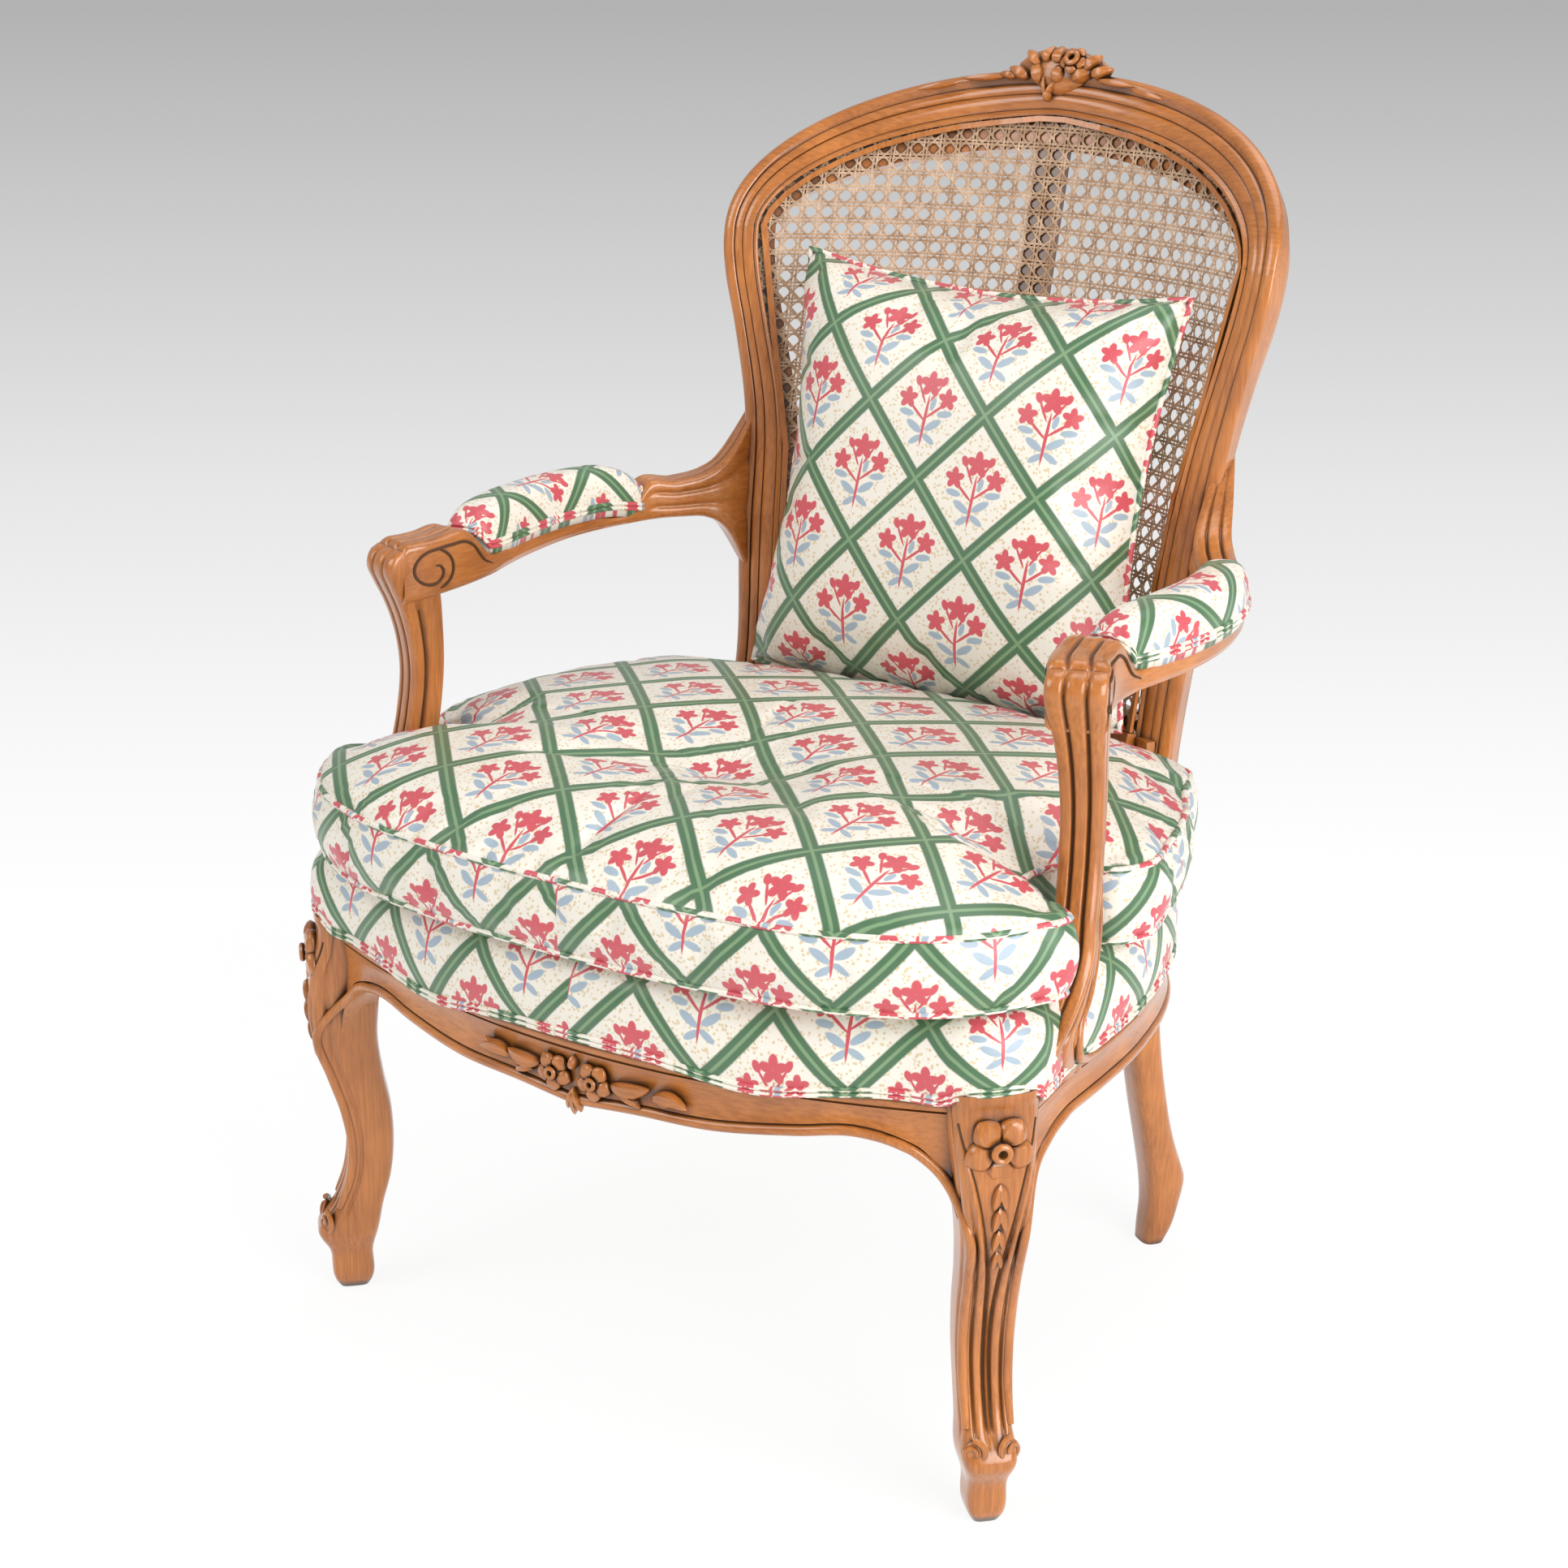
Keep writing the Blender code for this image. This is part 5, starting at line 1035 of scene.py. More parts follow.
def arm_scrolls(side):
    """Incised scroll on both faces of the arm's front end, as cords: a stem that runs into a closing
    spiral, and a guard line round it."""
    station = np.linspace(0.0, 0.45, 120)
    centre, sideways, _, _, width = arm_path(station, side)
    turn = np.radians(np.linspace(90.0, 430.0, 60))
    quarters = np.radians((90.0, 180.0, 270.0, 360.0, 430.0))
    reach = np.interp(turn, quarters, (1.0, 0.92, 0.70, 0.42, 0.20))
    y, z = SCROLL_LONG * reach * np.cos(turn), SCROLL_TALL * reach * np.sin(turn)
    spiral = np.column_stack([SCROLL_Y + y, SCROLL_Z + z])
    stem = through(SCROLL_STEM, np.linspace(0.0, 1.0, 50))
    turn = np.radians(np.linspace(70.0, -75.0, 30))
    y, z = SCROLL_LONG * np.cos(turn), SCROLL_TALL * np.sin(turn)
    guard = np.column_stack([SCROLL_Y + y, SCROLL_Z + z])
    shapes = []
    for face in (-1.0, 1.0):
        edge = centre + face * (width / 2 + 0.0004)[:, None] * sideways
        for line in (np.vstack([stem[:-1], spiral]), guard):
            x = np.interp(line[:, 0], edge[:, 1], edge[:, 0])
            share = np.linspace(0.0, 1.0, len(line))
            taper = np.interp(share, (0.0, 0.1, 0.9, 1.0), (0.4, 1.0, 1.0, 0.4))
            path = np.column_stack([x, line])
            shapes.append(tube(path, SCROLL_LINE * taper, sides=8, up=(1.0, 0.0, 0.0)))
    return shapes


def post(side):
    """Arm post: a soft rectangle turned outwards along an S curve, three reeds down its front and
    two quirks down each side."""
    z = np.linspace(SHOW_TOP - 0.006, POST_ROWS[-1][0], 90)
    x, y, width, depth = through(POST_ROWS, z).T
    u, v = rounded(width, depth, np.full_like(width, ARM_ROUND), flat=31)
    half, deep = (width / 2)[:, None], (depth / 2)[:, None]
    ahead, beside = v < -deep + 0.25 * ARM_ROUND, np.abs(u) > half - 0.25 * ARM_ROUND
    below = ease(*POST_QUIRKS_TO, z)[:, None]
    cut = sum(groove(v / deep, *quirk) for quirk in POST_QUIRKS)
    u, v = u - np.sign(u) * cut * beside * below, v + reeds(u / half) * ahead
    c, s = post_turn(z)
    c, s = c[:, None], s[:, None]
    across, along = x[:, None] + c * u - s * v, y[:, None] + s * u + c * v
    points = np.stack([side * across, along, np.broadcast_to(z[:, None], u.shape)], axis=-1)
    return grid(points, around=True, caps=True)


def post_lines(side):
    """Dark lines between a post's reeds and down its two sides."""
    z = np.linspace(*POST_LINES, 80)
    x, y, width, depth = through(POST_ROWS, z).T
    c, s = post_turn(z)
    whole, beside = slice(None), (z > POST_SIDE_LINES[0]) & (z < POST_SIDE_LINES[1])
    shapes = []
    for hand in (-1.0, 1.0):
        front = (hand * REED_AT * width / 2, REED_QUIRK - depth / 2, whole)
        flank = (hand * (width / 2 - POST_QUIRK), POST_QUIRK_AT * depth / 2, beside)
        for u, v, keep in (front, flank):
            path = np.column_stack([side * (x + c * u - s * v), y + s * u + c * v, z])[keep]
            shapes.append(tube(path, QUIRK_LINE, sides=6, up=(0.0, 1.0, 0.0)))
    return shapes


def post_foot(side):
    """Bead down an arm post's rear outer edge that turns at its foot and runs along the side rail."""
    z = np.array(FOOT_BEAD_HEIGHTS)
    x, y, width, depth = through(POST_ROWS, z).T
    u, v = width / 2 - FOOT_BEAD_INSIDE, depth / 2 - FOOT_BEAD_INSIDE
    c, s = post_turn(z)
    down = np.column_stack([side * (x + c * u - s * v), y + s * u + c * v, z])
    y, height, proud = np.array(FOOT_BEAD_ROWS).T
    turned = np.column_stack([side * (side_face(y) + proud), y, height])
    return bead(np.vstack([down, turned]), POST_BEAD, (1.0, 0.0, 0.0))


def closed_curve(points, count):
    """Smooth closed curve through plan points, at equal shares of its length."""
    points = np.asarray(points, float)
    ring = np.vstack([points[-2:], points, points[:3]])
    run = run_along(ring)
    low, high = run[2], run[2 + len(points)]
    return through(np.column_stack([run, ring]), np.linspace(low, high, count, endpoint=False))


def outline_normals(points):
    """Outward directions of a counter-clockwise outline."""
    along = np.roll(points, -1, axis=0) - np.roll(points, 1, axis=0)
    return unit(np.column_stack([along[:, 1], -along[:, 0]]))


def run_of(outline):
    """Distance along a closed outline at each point and once more at its start."""
    return run_along(np.vstack([outline, outline[:1]]))


def mirrored(half):
    """Whole outline, counter-clockwise, from its right half listed from front to rear."""
    half = np.asarray(half, float)
    left = half[::-1] * np.array([-1.0, 1.0])
    return np.vstack([half, left[np.abs(left[:, 0]) > 1e-6]])


def deck_outline():
    """Outer edge of the seat at the rails, rounded over the front legs."""
    x = np.linspace(0.0, FRONT_HALF - DECK_CORNER, 6)
    front = np.column_stack([x, front_face(x)])
    corner_x = side_face(FOOT_Y)[0]
    corner = [(corner_x - 0.75 * DECK_CORNER, front_face(FRONT_HALF) + 0.2 * DECK_CORNER)]
    y = np.linspace(FOOT_Y + 0.5 * DECK_CORNER, SIDE_END_Y, 9)
    side = np.column_stack([side_face(y), y])
    rear = [(0.6 * side[-1][0], REAR_FACE_Y), (0.0, REAR_FACE_Y)]
    return closed_curve(mirrored(np.vstack([front, corner, side, rear])), 360)


def deck_edge(edge):
    """Height of the cover's lower edge round the seat: it dips beside the carved middle of the
    front rail and rises over the knees."""
    x, y = np.abs(edge[:, 0]), edge[:, 1]
    ahead = ease(-0.20, -0.27, y)
    dip = groove(x, DIP_X, DIP_REACH, DIP_DEPTH) * ahead
    away = np.hypot(x - FOOT_X - KNEE_OUT, y - FOOT_Y + KNEE_OUT)
    knee = np.sqrt(np.clip(1 - (away / KNEE_REACH) ** 2, 0.0, 1.0))
    return SHOW_TOP - 0.0005 - dip + KNEE_RISE * knee


def deck():
    """Tight seat: cover from its edge on the rails up over a roll to a flat top."""
    edge = deck_outline()
    out = outline_normals(edge)
    low = deck_edge(edge)
    inset, rise = through(DECK_ROWS, np.linspace(0.0, 1.0, 22)).T
    plan = edge[None] - inset[:, None, None] * out[None]
    height = low[None] + (DECK_TOP - low)[None] * rise[:, None]
    skirt = np.dstack([plan, height])
    steps = np.linalg.norm(np.diff(skirt, axis=0), axis=2).mean(axis=1)
    up = np.concatenate([[0.0], np.cumsum(steps)])
    uv = np.stack(np.meshgrid(up, run_of(edge), indexing="ij")[::-1], axis=-1)
    centre = np.array([0.0, CUSHION_MIDDLE_Y])
    share = np.linspace(1.0, 0.1, 10)[:, None, None]
    flat = centre + (plan[-1] - centre)[None] * share
    top = np.dstack([flat, np.full(flat.shape[:2], DECK_TOP)])
    flat_uv = np.concatenate([flat, flat[:, :1]], axis=1)
    tucked = edge - (RAIL_REBATE - 0.0004) * out
    inner = edge - 0.6 * RAIL_THICK * out
    foot = np.full(len(edge), DECK_FOOT)
    under = np.stack([np.column_stack([plan[0], low]), np.column_stack([tucked, low]),
                      np.column_stack([tucked, foot]), np.column_stack([inner, foot])])  # fmt: skip
    return [
        grid(skirt, around=True, uv=uv),
        grid(top, around=True, caps="last", uv=flat_uv),
        grid(under, around=True, caps="last"),
    ]


def cushion_outline():
    """T cushion in plan: ears before the posts, notches round them, full sides."""
    posts = through(POST_ROWS, CUSHION_FOOT + np.linspace(0.0, CUSHION_BOXING + CUSHION_LIFT, 9))
    c, s = math.cos(POST_TURN) / 2, math.sin(POST_TURN) / 2
    inner = (posts[:, 0] - c * posts[:, 2] - s * posts[:, 3]).min() - CUSHION_NOTCH
    front = (posts[:, 1] - s * posts[:, 2] - c * posts[:, 3]).min() - CUSHION_NOTCH
    rear = (posts[:, 1] + s * posts[:, 2] + c * posts[:, 3]).max() + CUSHION_NOTCH
    ear, side, head, tail = CUSHION_EAR_X, CUSHION_SIDE_X, CUSHION_FRONT_Y, CUSHION_REAR_Y
    depth = front - head
    half = (
        (0.0, head),
        (0.35 * ear, head + 0.03 * depth),
        (0.65 * ear, head + 0.15 * depth),
        (0.87 * ear, head + 0.42 * depth),
        (0.97 * ear, head + 0.72 * depth),
        (ear, head + 0.92 * depth),
        (0.97 * ear, front - 0.4 * CUSHION_ROUND),
        (inner + CUSHION_ROUND, front),
        (inner, front + CUSHION_ROUND),
        (inner, rear - CUSHION_ROUND),
        (inner + CUSHION_ROUND, rear),
        (0.96 * side, rear + 0.8 * CUSHION_ROUND),
        (side, rear + 3 * CUSHION_ROUND),
        *((side_face(y)[0] + over, y) for y, over in CUSHION_OVERHANG),
        *((share * side, tail - before) for share, before in CUSHION_REAR),
        (0.0, tail),
    )
    return closed_curve(mirrored(half), 288)


def tuft_dip(plan):
    """Depth of the sewn tuft at plan points: a bell."""
    away = np.sum((plan - [0.0, CUSHION_TUFT_Y]) ** 2, axis=-1)
    return CUSHION_TUFT * np.exp(-away / CUSHION_TUFT_REACH**2)


def cushion_shapes():
    """Boxed cushion: flat foot, bulging border, crown that rises as a power of the share inwards."""
    edge = cushion_outline()
    out = outline_normals(edge)
    centre = np.array([0.0, CUSHION_MIDDLE_Y])
    low, high = CUSHION_FOOT + CUSHION_SEAM, CUSHION_FOOT + CUSHION_BOXING
    run = run_of(edge)

    t = np.linspace(0.0, 1.0, 9)
    bulge = CUSHION_BULGE * (1.5 * (1 - t) + t - 3.4 * np.sin(math.pi * t) ** 0.8)
    plan = edge[None] - bulge[:, None, None] * out[None]
    border = np.dstack([plan, np.broadcast_to((low + (high - low) * t)[:, None], plan.shape[:2])])
    border_uv = np.stack(np.meshgrid((high - low) * t, run, indexing="ij")[::-1], axis=-1)

    share = np.concatenate([[1.0, 0.985, 0.96], np.linspace(0.93, 0.05, 23)])
    top_plan = centre + (plan[-1] - centre)[None] * share[:, None, None]
    rise = high + CUSHION_CROWN * (1 - share**2) ** CUSHION_FULLNESS
    dip = tuft_dip(top_plan) * ease(1.0, 0.9, share)[:, None]
    top = np.dstack([top_plan, rise[:, None] - dip])
    top_uv = np.concatenate([top_plan, top_plan[:, :1]], axis=1)

    foot_share = np.array([1.0, 0.96, 0.90, 0.6, 0.3, 0.1])
    foot_plan = centre + (plan[0] - centre)[None] * foot_share[:, None, None]
    foot_z = np.array([low, CUSHION_FOOT + 0.001, *([CUSHION_FOOT] * 4)])
    foot = np.dstack([foot_plan, np.broadcast_to(foot_z[:, None], foot_plan.shape[:2])])
    foot_uv = np.concatenate([foot_plan, foot_plan[:, :1]], axis=1)
    shapes = [
        grid(border, around=True, uv=border_uv),
        grid(top, around=True, caps="last", uv=top_uv),
        grid(foot, around=True, caps="last", uv=foot_uv),
    ]
    return shapes, border[-1], border[0]


def pillow_sheets(count):
    """Front and rear of the knife-edge pillow about its own middle.

    Half width and height shrink between the corners, and the swell is a product of powers.
    """
    u, v = np.meshgrid(np.linspace(-1.0, 1.0, count), np.linspace(-1.0, 1.0, count))
    half = 0.25 * (PILLOW_TOP * (1 + v) + PILLOW_FOOT * (1 - v))
    wide = u * (half - PILLOW_DRAW * (1 - v**2))
    draw = np.where(v > 0.0, PILLOW_DRAW, PILLOW_FOOT_DRAW)
    tall = v * (PILLOW_HEIGHT / 2 - draw * (1 - u**2))
    tall = tall - (PILLOW_SAG + PILLOW_TILT * u) * (1 + v) / 2
    swell = PILLOW_HALF_THICK * ((1 - u**4) * (1 - v**4)) ** 0.5 + PILLOW_SEAM
    angles = (math.radians(PILLOW_TURN), math.radians(-PILLOW_LEAN))
    (turn_c, turn_s), (lean_c, lean_s) = ((math.cos(angle), math.sin(angle)) for angle in angles)
    about_z = np.array([[turn_c, -turn_s, 0], [turn_s, turn_c, 0], [0, 0, 1]])
    about_x = np.array([[1, 0, 0], [0, lean_c, -lean_s], [0, lean_s, lean_c]])
    place = (about_z @ about_x).T
    front = np.stack([wide, -swell, tall], axis=-1) @ place
    rear = np.stack([wide, PILLOW_REAR * swell, tall], axis=-1) @ place
    middle = count // 2
    flat = []
    for axis in (1, 0):
        step = np.linalg.norm(np.diff(front, axis=axis), axis=2)
        run = np.insert(np.cumsum(step, axis=axis), 0, 0.0, axis=axis)
        flat.append(run - np.take(run, [middle], axis=axis))
    return front, rear, np.stack(flat, axis=-1)


def pillow_shift():
    """Move that brings the pillow's formula onto its CAD node."""
    front, rear, _ = pillow_sheets(15)
    low = np.minimum(front.min(axis=(0, 1)), rear.min(axis=(0, 1)))
    return np.array(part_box("back_pillow")[0]) - low


def pad_rings(side, count=48, around=28):
    """Arm pad: half a soft oval over the arm at each station, fullest in the middle and
    leaning forward at the front."""
    share = np.linspace(0.0, 1.0, count)
    centre, sideways, _, _, width = arm_path(PAD_START + (PAD_END - PAD_START) * share, side)
    seat = through(ARM_ROWS, PAD_START + (PAD_END - PAD_START) * (0.2 + 0.6 * share))[:, 2]
    full = np.sqrt(1 - (2 * share - 1) ** 6)
    half = (width / 2 + PAD_OVERHANG * full) * (PAD_END_WIDTH + (1 - PAD_END_WIDTH) * full)
    rise = PAD_RISE * (PAD_END_RISE + (1 - PAD_END_RISE) * full)
    turn = np.linspace(0.0, math.pi, around)
    u = half[:, None] * np.sign(np.cos(turn)) * np.abs(np.cos(turn)) ** 0.7
    v = rise[:, None] * np.sin(turn) ** 0.75
    plan = centre[:, None] + u[..., None] * sideways[:, None]
    dome = np.dstack([plan, seat[:, None] + v])
    dome[..., 1] -= PAD_LEAN * ((1 - share) ** 6)[:, None] * v / rise[:, None]
    under_u = half[:, None] * np.linspace(-0.9, 0.9, 5)
    under = np.dstack([
        centre[:, None] + under_u[..., None] * sideways[:, None],
        np.broadcast_to((seat - PAD_TUCK)[:, None], under_u.shape),
    ])  # fmt: skip
    return np.concatenate([dome, under], axis=1), dome


def feed(tree, node, inputs):
    """Links each input that is given a socket, and sets the others."""
    for key, value in inputs.items():
        if isinstance(value, bpy.types.NodeSocket):
            tree.links.new(value, node.inputs[key])
        else:
            node.inputs[key].default_value = value


def add(tree, kind, inputs=(), out=0, **settings):
    """Adds a node with its settings, sets or links its inputs, and gives one output or the node."""
    made = tree.nodes.new("ShaderNode" + kind)
    for key, value in settings.items():
        setattr(made, key, value)
    feed(tree, made, dict(inputs))
    return made if out is None else made.outputs[out]


def fresh(name):
    """New material, with its tree and shader."""
    material = bpy.data.materials.new(name)
    material.use_nodes = True
    tree = material.node_tree
    return material, tree, tree.nodes["Principled BSDF"]


def rgba(colour, shade=1.0):
    """Colour with a full alpha, darkened or brightened by a factor."""
    return (*(shade * value for value in colour), 1.0)


def fruitwood(name, stretch, shade=1.0):
    """Satin-lacquered fruitwood: honey stain, fine straight grain, painted shade in the hollows."""
    colours = bpy.context.scene.fauteuil_finish
    # A shade below one darkens the stain for a copy of the wood in painted shade
    amber, honey = rgba(colours.amber, shade), rgba(colours.honey, shade)
    material, tree, shader = fresh(name)
    place = add(tree, "TexCoord", out=3)
    along = add(tree, "Mapping", {"Vector": place, "Scale": stretch})
    # Grain lines about 2.5 mm apart, and clouds of stain about 60 mm across
    grain = add(tree, "TexNoise", {"Vector": along, "Scale": 400.0, "Detail": 4.0, "Roughness": 0.6})
    cloud = add(tree, "TexNoise", {"Vector": place, "Scale": 16.0, "Detail": 2.0})
    mixed = add(tree, "Math", {0: grain, 1: cloud}, operation="ADD")
    level = add(tree, "MapRange", {"Value": mixed, "From Min": 0.72, "From Max": 1.28})
    stain = add(tree, "Mix", {0: level, 6: amber, 7: honey}, 2, data_type="RGBA")
    # Painted shade: dark brown mixed in by ambient occlusion where surfaces within 9 mm close in on each
    # other
    shut = add(tree, "AmbientOcclusion", {"Distance": 0.009}, 1, samples=8)
    left = add(tree, "MapRange", {"Value": shut, "From Min": 0.42, "From Max": 0.88})
    colour = add(tree, "Mix", {0: left, 6: rgba(colours.shade_and_line_brown), 7: stain}, 2, data_type="RGBA")
    rough = add(tree, "MapRange", {"Value": grain, "To Min": 0.24, "To Max": 0.36})
    bump = add(tree, "Bump", {"Height": grain, "Strength": 0.06, "Distance": 0.0004})
    feed(tree, shader, {"Base Color": colour, "Roughness": rough, "Normal": bump})
    feed(tree, shader, {"Coat Weight": 0.75, "Coat Roughness": 0.16})
    return material


def mottled(name, dark, pale, noise, rough, stretch=(1.0, 1.0, 1.0), low=0.0, high=1.0):
    """Material of two colours in patches, which lie between two levels of a stretched noise."""
    material, tree, shader = fresh(name)
    place = add(tree, "Mapping", {"Vector": add(tree, "TexCoord", out=3), "Scale": stretch})
    patch = add(tree, "TexNoise", {"Vector": place, "Scale": noise[0], "Detail": noise[1]})
    level = add(tree, "MapRange", {"Value": patch, "From Min": low, "From Max": high})
    colour = add(tree, "Mix", {0: level, 6: dark, 7: pale}, 2, data_type="RGBA")
    feed(tree, shader, {"Base Color": colour, "Roughness": rough})
    return material


def cane_finish():
    """Rattan cane: split skin, glossy tan with darker patches."""
    colours = bpy.context.scene.fauteuil_finish
    dark, pale = rgba(colours.cane_shade), rgba(colours.cane)
    return mottled("split_rattan_cane", dark, pale, (90.0, 3.0), 0.42, low=0.35, high=0.68)


def dark_line_finish():
    """Dark line in a cut: near black brown, uneven, matt."""
    colour = bpy.context.scene.fauteuil_finish.shade_and_line_brown
    return mottled("dark_cut_line", rgba(colour), rgba(colour, 1.9), (300.0, 2.0), 0.7)


def plain_beech():
    """Bare planed beech: pale, short flecks, no lacquer."""
    colour = bpy.context.scene.fauteuil_finish.beech
    return mottled("planed_beech", rgba(colour, 0.7), rgba(colour), (300.0, 3.0), 0.65, (0.1, 1.0, 1.0))


# Five-petal flowers of the sprig in each diamond: across, up, size
BLOSSOMS = ((0.0015, 0.0190, 1.0), (-0.0185, 0.0060, 0.82), (0.0190, 0.0080, 0.82))
# The sprig's ovals: across, up, turn in degrees, half length, half width, kind (0 flower, 1 leaf)
PETALS = tuple(
    (
        x + 0.0055 * size * math.cos(math.radians(turn)),
        y + 0.0055 * size * math.sin(math.radians(turn)),
        turn,
        0.0056 * size,
        0.0036 * size,
        0,
    )
    for x, y, size in BLOSSOMS
    for turn in (18.0, 90.0, 162.0, 234.0, 306.0)
)
SPRIG = (
    *PETALS,
    (0.000, -0.0110, 86.0, 0.0210, 0.0014, 0),
    (-0.0090, -0.0040, 140.0, 0.0115, 0.0012, 0),
    (0.0095, -0.0020, 38.0, 0.0115, 0.0012, 0),
    (-0.0060, 0.0110, 118.0, 0.0095, 0.0011, 0),
    (0.0075, 0.0125, 58.0, 0.0095, 0.0011, 0),
    (-0.0110, 0.0205, 118.0, 0.0046, 0.0030, 0),
    (0.0130, 0.0220, 58.0, 0.0046, 0.0030, 0),
    (0.0085, -0.0140, 32.0, 0.0085, 0.0032, 1),
    (-0.0090, -0.0165, 150.0, 0.0085, 0.0032, 1),
    (0.0180, -0.0040, 8.0, 0.0070, 0.0028, 1),
    (-0.0180, -0.0060, 172.0, 0.0070, 0.0028, 1),
    (0.0060, -0.0255, -30.0, 0.0070, 0.0027, 1),
    (-0.0060, -0.0270, 212.0, 0.0070, 0.0027, 1),
    (0.0060, 0.0030, 75.0, 0.0055, 0.0024, 1),
)


def printed_cotton():
    """Glazed printed cotton: cream with tan dots, a plain green trellis and small flower sprigs."""
    colours, sizes = bpy.context.scene.fauteuil_finish, bpy.context.scene.fauteuil_sizes
    wide, tall, band = sizes.trellis_wide, sizes.trellis_tall, sizes.trellis_band
    material, tree, shader = fresh("glazed_printed_cotton")
    cloth = add(tree, "UVMap", uv_map="cloth")
    scaled = add(tree, "VectorMath", {0: cloth, 1: (1 / wide, 1 / tall, 0.0)}, operation="MULTIPLY")
    flat = add(tree, "SeparateXYZ", {0: scaled}, None).outputs
    rows = []
    for sign in ("ADD", "SUBTRACT"):
        line = add(tree, "Math", {0: flat[0], 1: flat[1]}, operation=sign)
        share = add(tree, "Math", {0: line}, operation="FRACT")
        rows.append(add(tree, "Math", {0: share, 1: 0.5}, operation="SUBTRACT"))
    # Nearness to a band, as a share of the bands' spacing: they lie where it is a half
    spacing = 1 / math.hypot(1 / wide, 1 / tall)
    ends = [add(tree, "Math", {0: row}, operation="ABSOLUTE") for row in rows]
    nearest = add(tree, "Math", {0: ends[0], 1: ends[1]}, operation="MAXIMUM")
    edge = 0.5 - band / 2 / spacing
    low, high = edge - 0.008, edge + 0.008
    on_band = add(tree, "MapRange", {"Value": nearest, "From Min": low, "From Max": high})
    low, high = 0.5 - 0.0016 / spacing, 0.5 - 0.0009 / spacing
    middle = add(tree, "MapRange", {"Value": nearest, "From Min": low, "From Max": high})
    # Place in the diamond, in metres
    summed = add(tree, "Math", {0: rows[0], 1: rows[1]}, operation="ADD")
    parted = add(tree, "Math", {0: rows[0], 1: rows[1]}, operation="SUBTRACT")
    across = add(tree, "Math", {0: summed, 1: wide / 2}, operation="MULTIPLY")
    up = add(tree, "Math", {0: parted, 1: tall / 2}, operation="MULTIPLY")
    inside = add(tree, "CombineXYZ", {0: across, 1: up})
    masks = [None, None]
    for x, y, turn, half_long, half_wide, kind in SPRIG:
        inputs = {"Vector": inside, "Location": (x, y, 0.0), "Scale": (half_long, half_wide, 1.0)}
        inputs["Rotation"] = (0.0, 0.0, math.radians(turn))
        oval = add(tree, "Mapping", inputs, vector_type="TEXTURE")
        reach = add(tree, "VectorMath", {0: oval}, 1, operation="LENGTH")
        mask = add(tree, "MapRange", {"Value": reach, "From Min": 1.1, "From Max": 0.9})
        if masks[kind] is not None:
            mask = add(tree, "Math", {0: masks[kind], 1: mask}, operation="MAXIMUM")
        masks[kind] = mask
    # Dots about 3.5 mm apart, drawn a little larger than life so that they show
    dots = add(tree, "TexVoronoi", {"Vector": cloth, "Scale": 290.0, "Randomness": 0.9})
    dot = add(tree, "MapRange", {"Value": dots, "From Min": 0.40, "From Max": 0.26})
    layers = (
        (dot, colours.speckle),
        (masks[1], colours.leaf),
        (masks[0], colours.flower),
        (on_band, colours.trellis),
        (middle, colours.trellis_line),
    )
    colour = rgba(colours.ground)
    for mask, layer in layers:
        colour = add(tree, "Mix", {0: mask, 6: colour, 7: rgba(layer)}, 2, data_type="RGBA")
    # Plain weave of 0.5 mm threads, drawn at 1.6 mm so that it shows, under a calendered glaze
    weave = add(tree, "TexWave", {"Vector": cloth, "Scale": 196.0, "Distortion": 1.0})
    bump = add(tree, "Bump", {"Height": weave, "Strength": 0.05, "Distance": 0.0003})
    feed(tree, shader, {"Base Color": colour, "Normal": bump, "Roughness": 0.40, "Sheen Weight": 0.08})
    feed(tree, shader, {"Coat Weight": 0.30, "Coat Roughness": 0.34})
    return material


def jute_webbing():
    """Woven jute strap: coarse crossing yarns, matt."""
    colours = bpy.context.scene.fauteuil_finish
    material, tree, shader = fresh("woven_jute")
    place = add(tree, "TexCoord", out=3)
    checks = [
        add(tree, "TexWave", {"Vector": place, "Scale": 80.0}, 1, bands_direction=axis) for axis in "XY"
    ]
    yarn = add(tree, "Math", {0: checks[0], 1: checks[1]}, operation="MULTIPLY")
    dark, pale = rgba(colours.jute, 0.45), rgba(colours.jute)
    colour = add(tree, "Mix", {0: yarn, 6: dark, 7: pale}, 2, data_type="RGBA")
    bump = add(tree, "Bump", {"Height": yarn, "Strength": 0.4, "Distance": 0.0006})
    feed(tree, shader, {"Base Color": colour, "Normal": bump, "Roughness": 0.9})
    return material


def turned_steel():
    """Turned steel screw: grey metal with faint tool marks."""
    material, tree, shader = fresh("turned_steel")
    place = add(tree, "TexCoord", out=3)
    marks = add(tree, "TexNoise", {"Vector": place, "Scale": 900.0, "Detail": 2.0})
    rough = add(tree, "MapRange", {"Value": marks, "To Min": 0.30, "To Max": 0.50})
    feed(tree, shader, {"Base Color": rgba(linear("#8f8c88")), "Roughness": rough, "Metallic": 1.0})
    return material


FINISHES = {}


def finish(name):
    """A finish by name, made once."""
    makers = {
        "wood_up": lambda: fruitwood("satin_fruitwood_upright", (1.0, 1.0, 0.05)),
        "wood_along": lambda: fruitwood("satin_fruitwood_lengthwise", (1.0, 0.05, 1.0)),
        "wood_across": lambda: fruitwood("satin_fruitwood_crosswise", (0.05, 1.0, 1.0)),
        # Painted shade: the fruitwood at 0.30 of its brightness, for the brace that lies in shadow
        # behind the cane
        "wood_painted_shade": lambda: fruitwood("fruitwood_in_painted_shade", (1.0, 1.0, 0.05), 0.30),
        "cane": cane_finish,
        "cover": printed_cotton,
        "beech": plain_beech,
        "line": dark_line_finish,
        "jute": jute_webbing,
        "steel": turned_steel,
    }
    if name not in FINISHES:
        FINISHES[name] = makers[name]()
    return FINISHES[name]


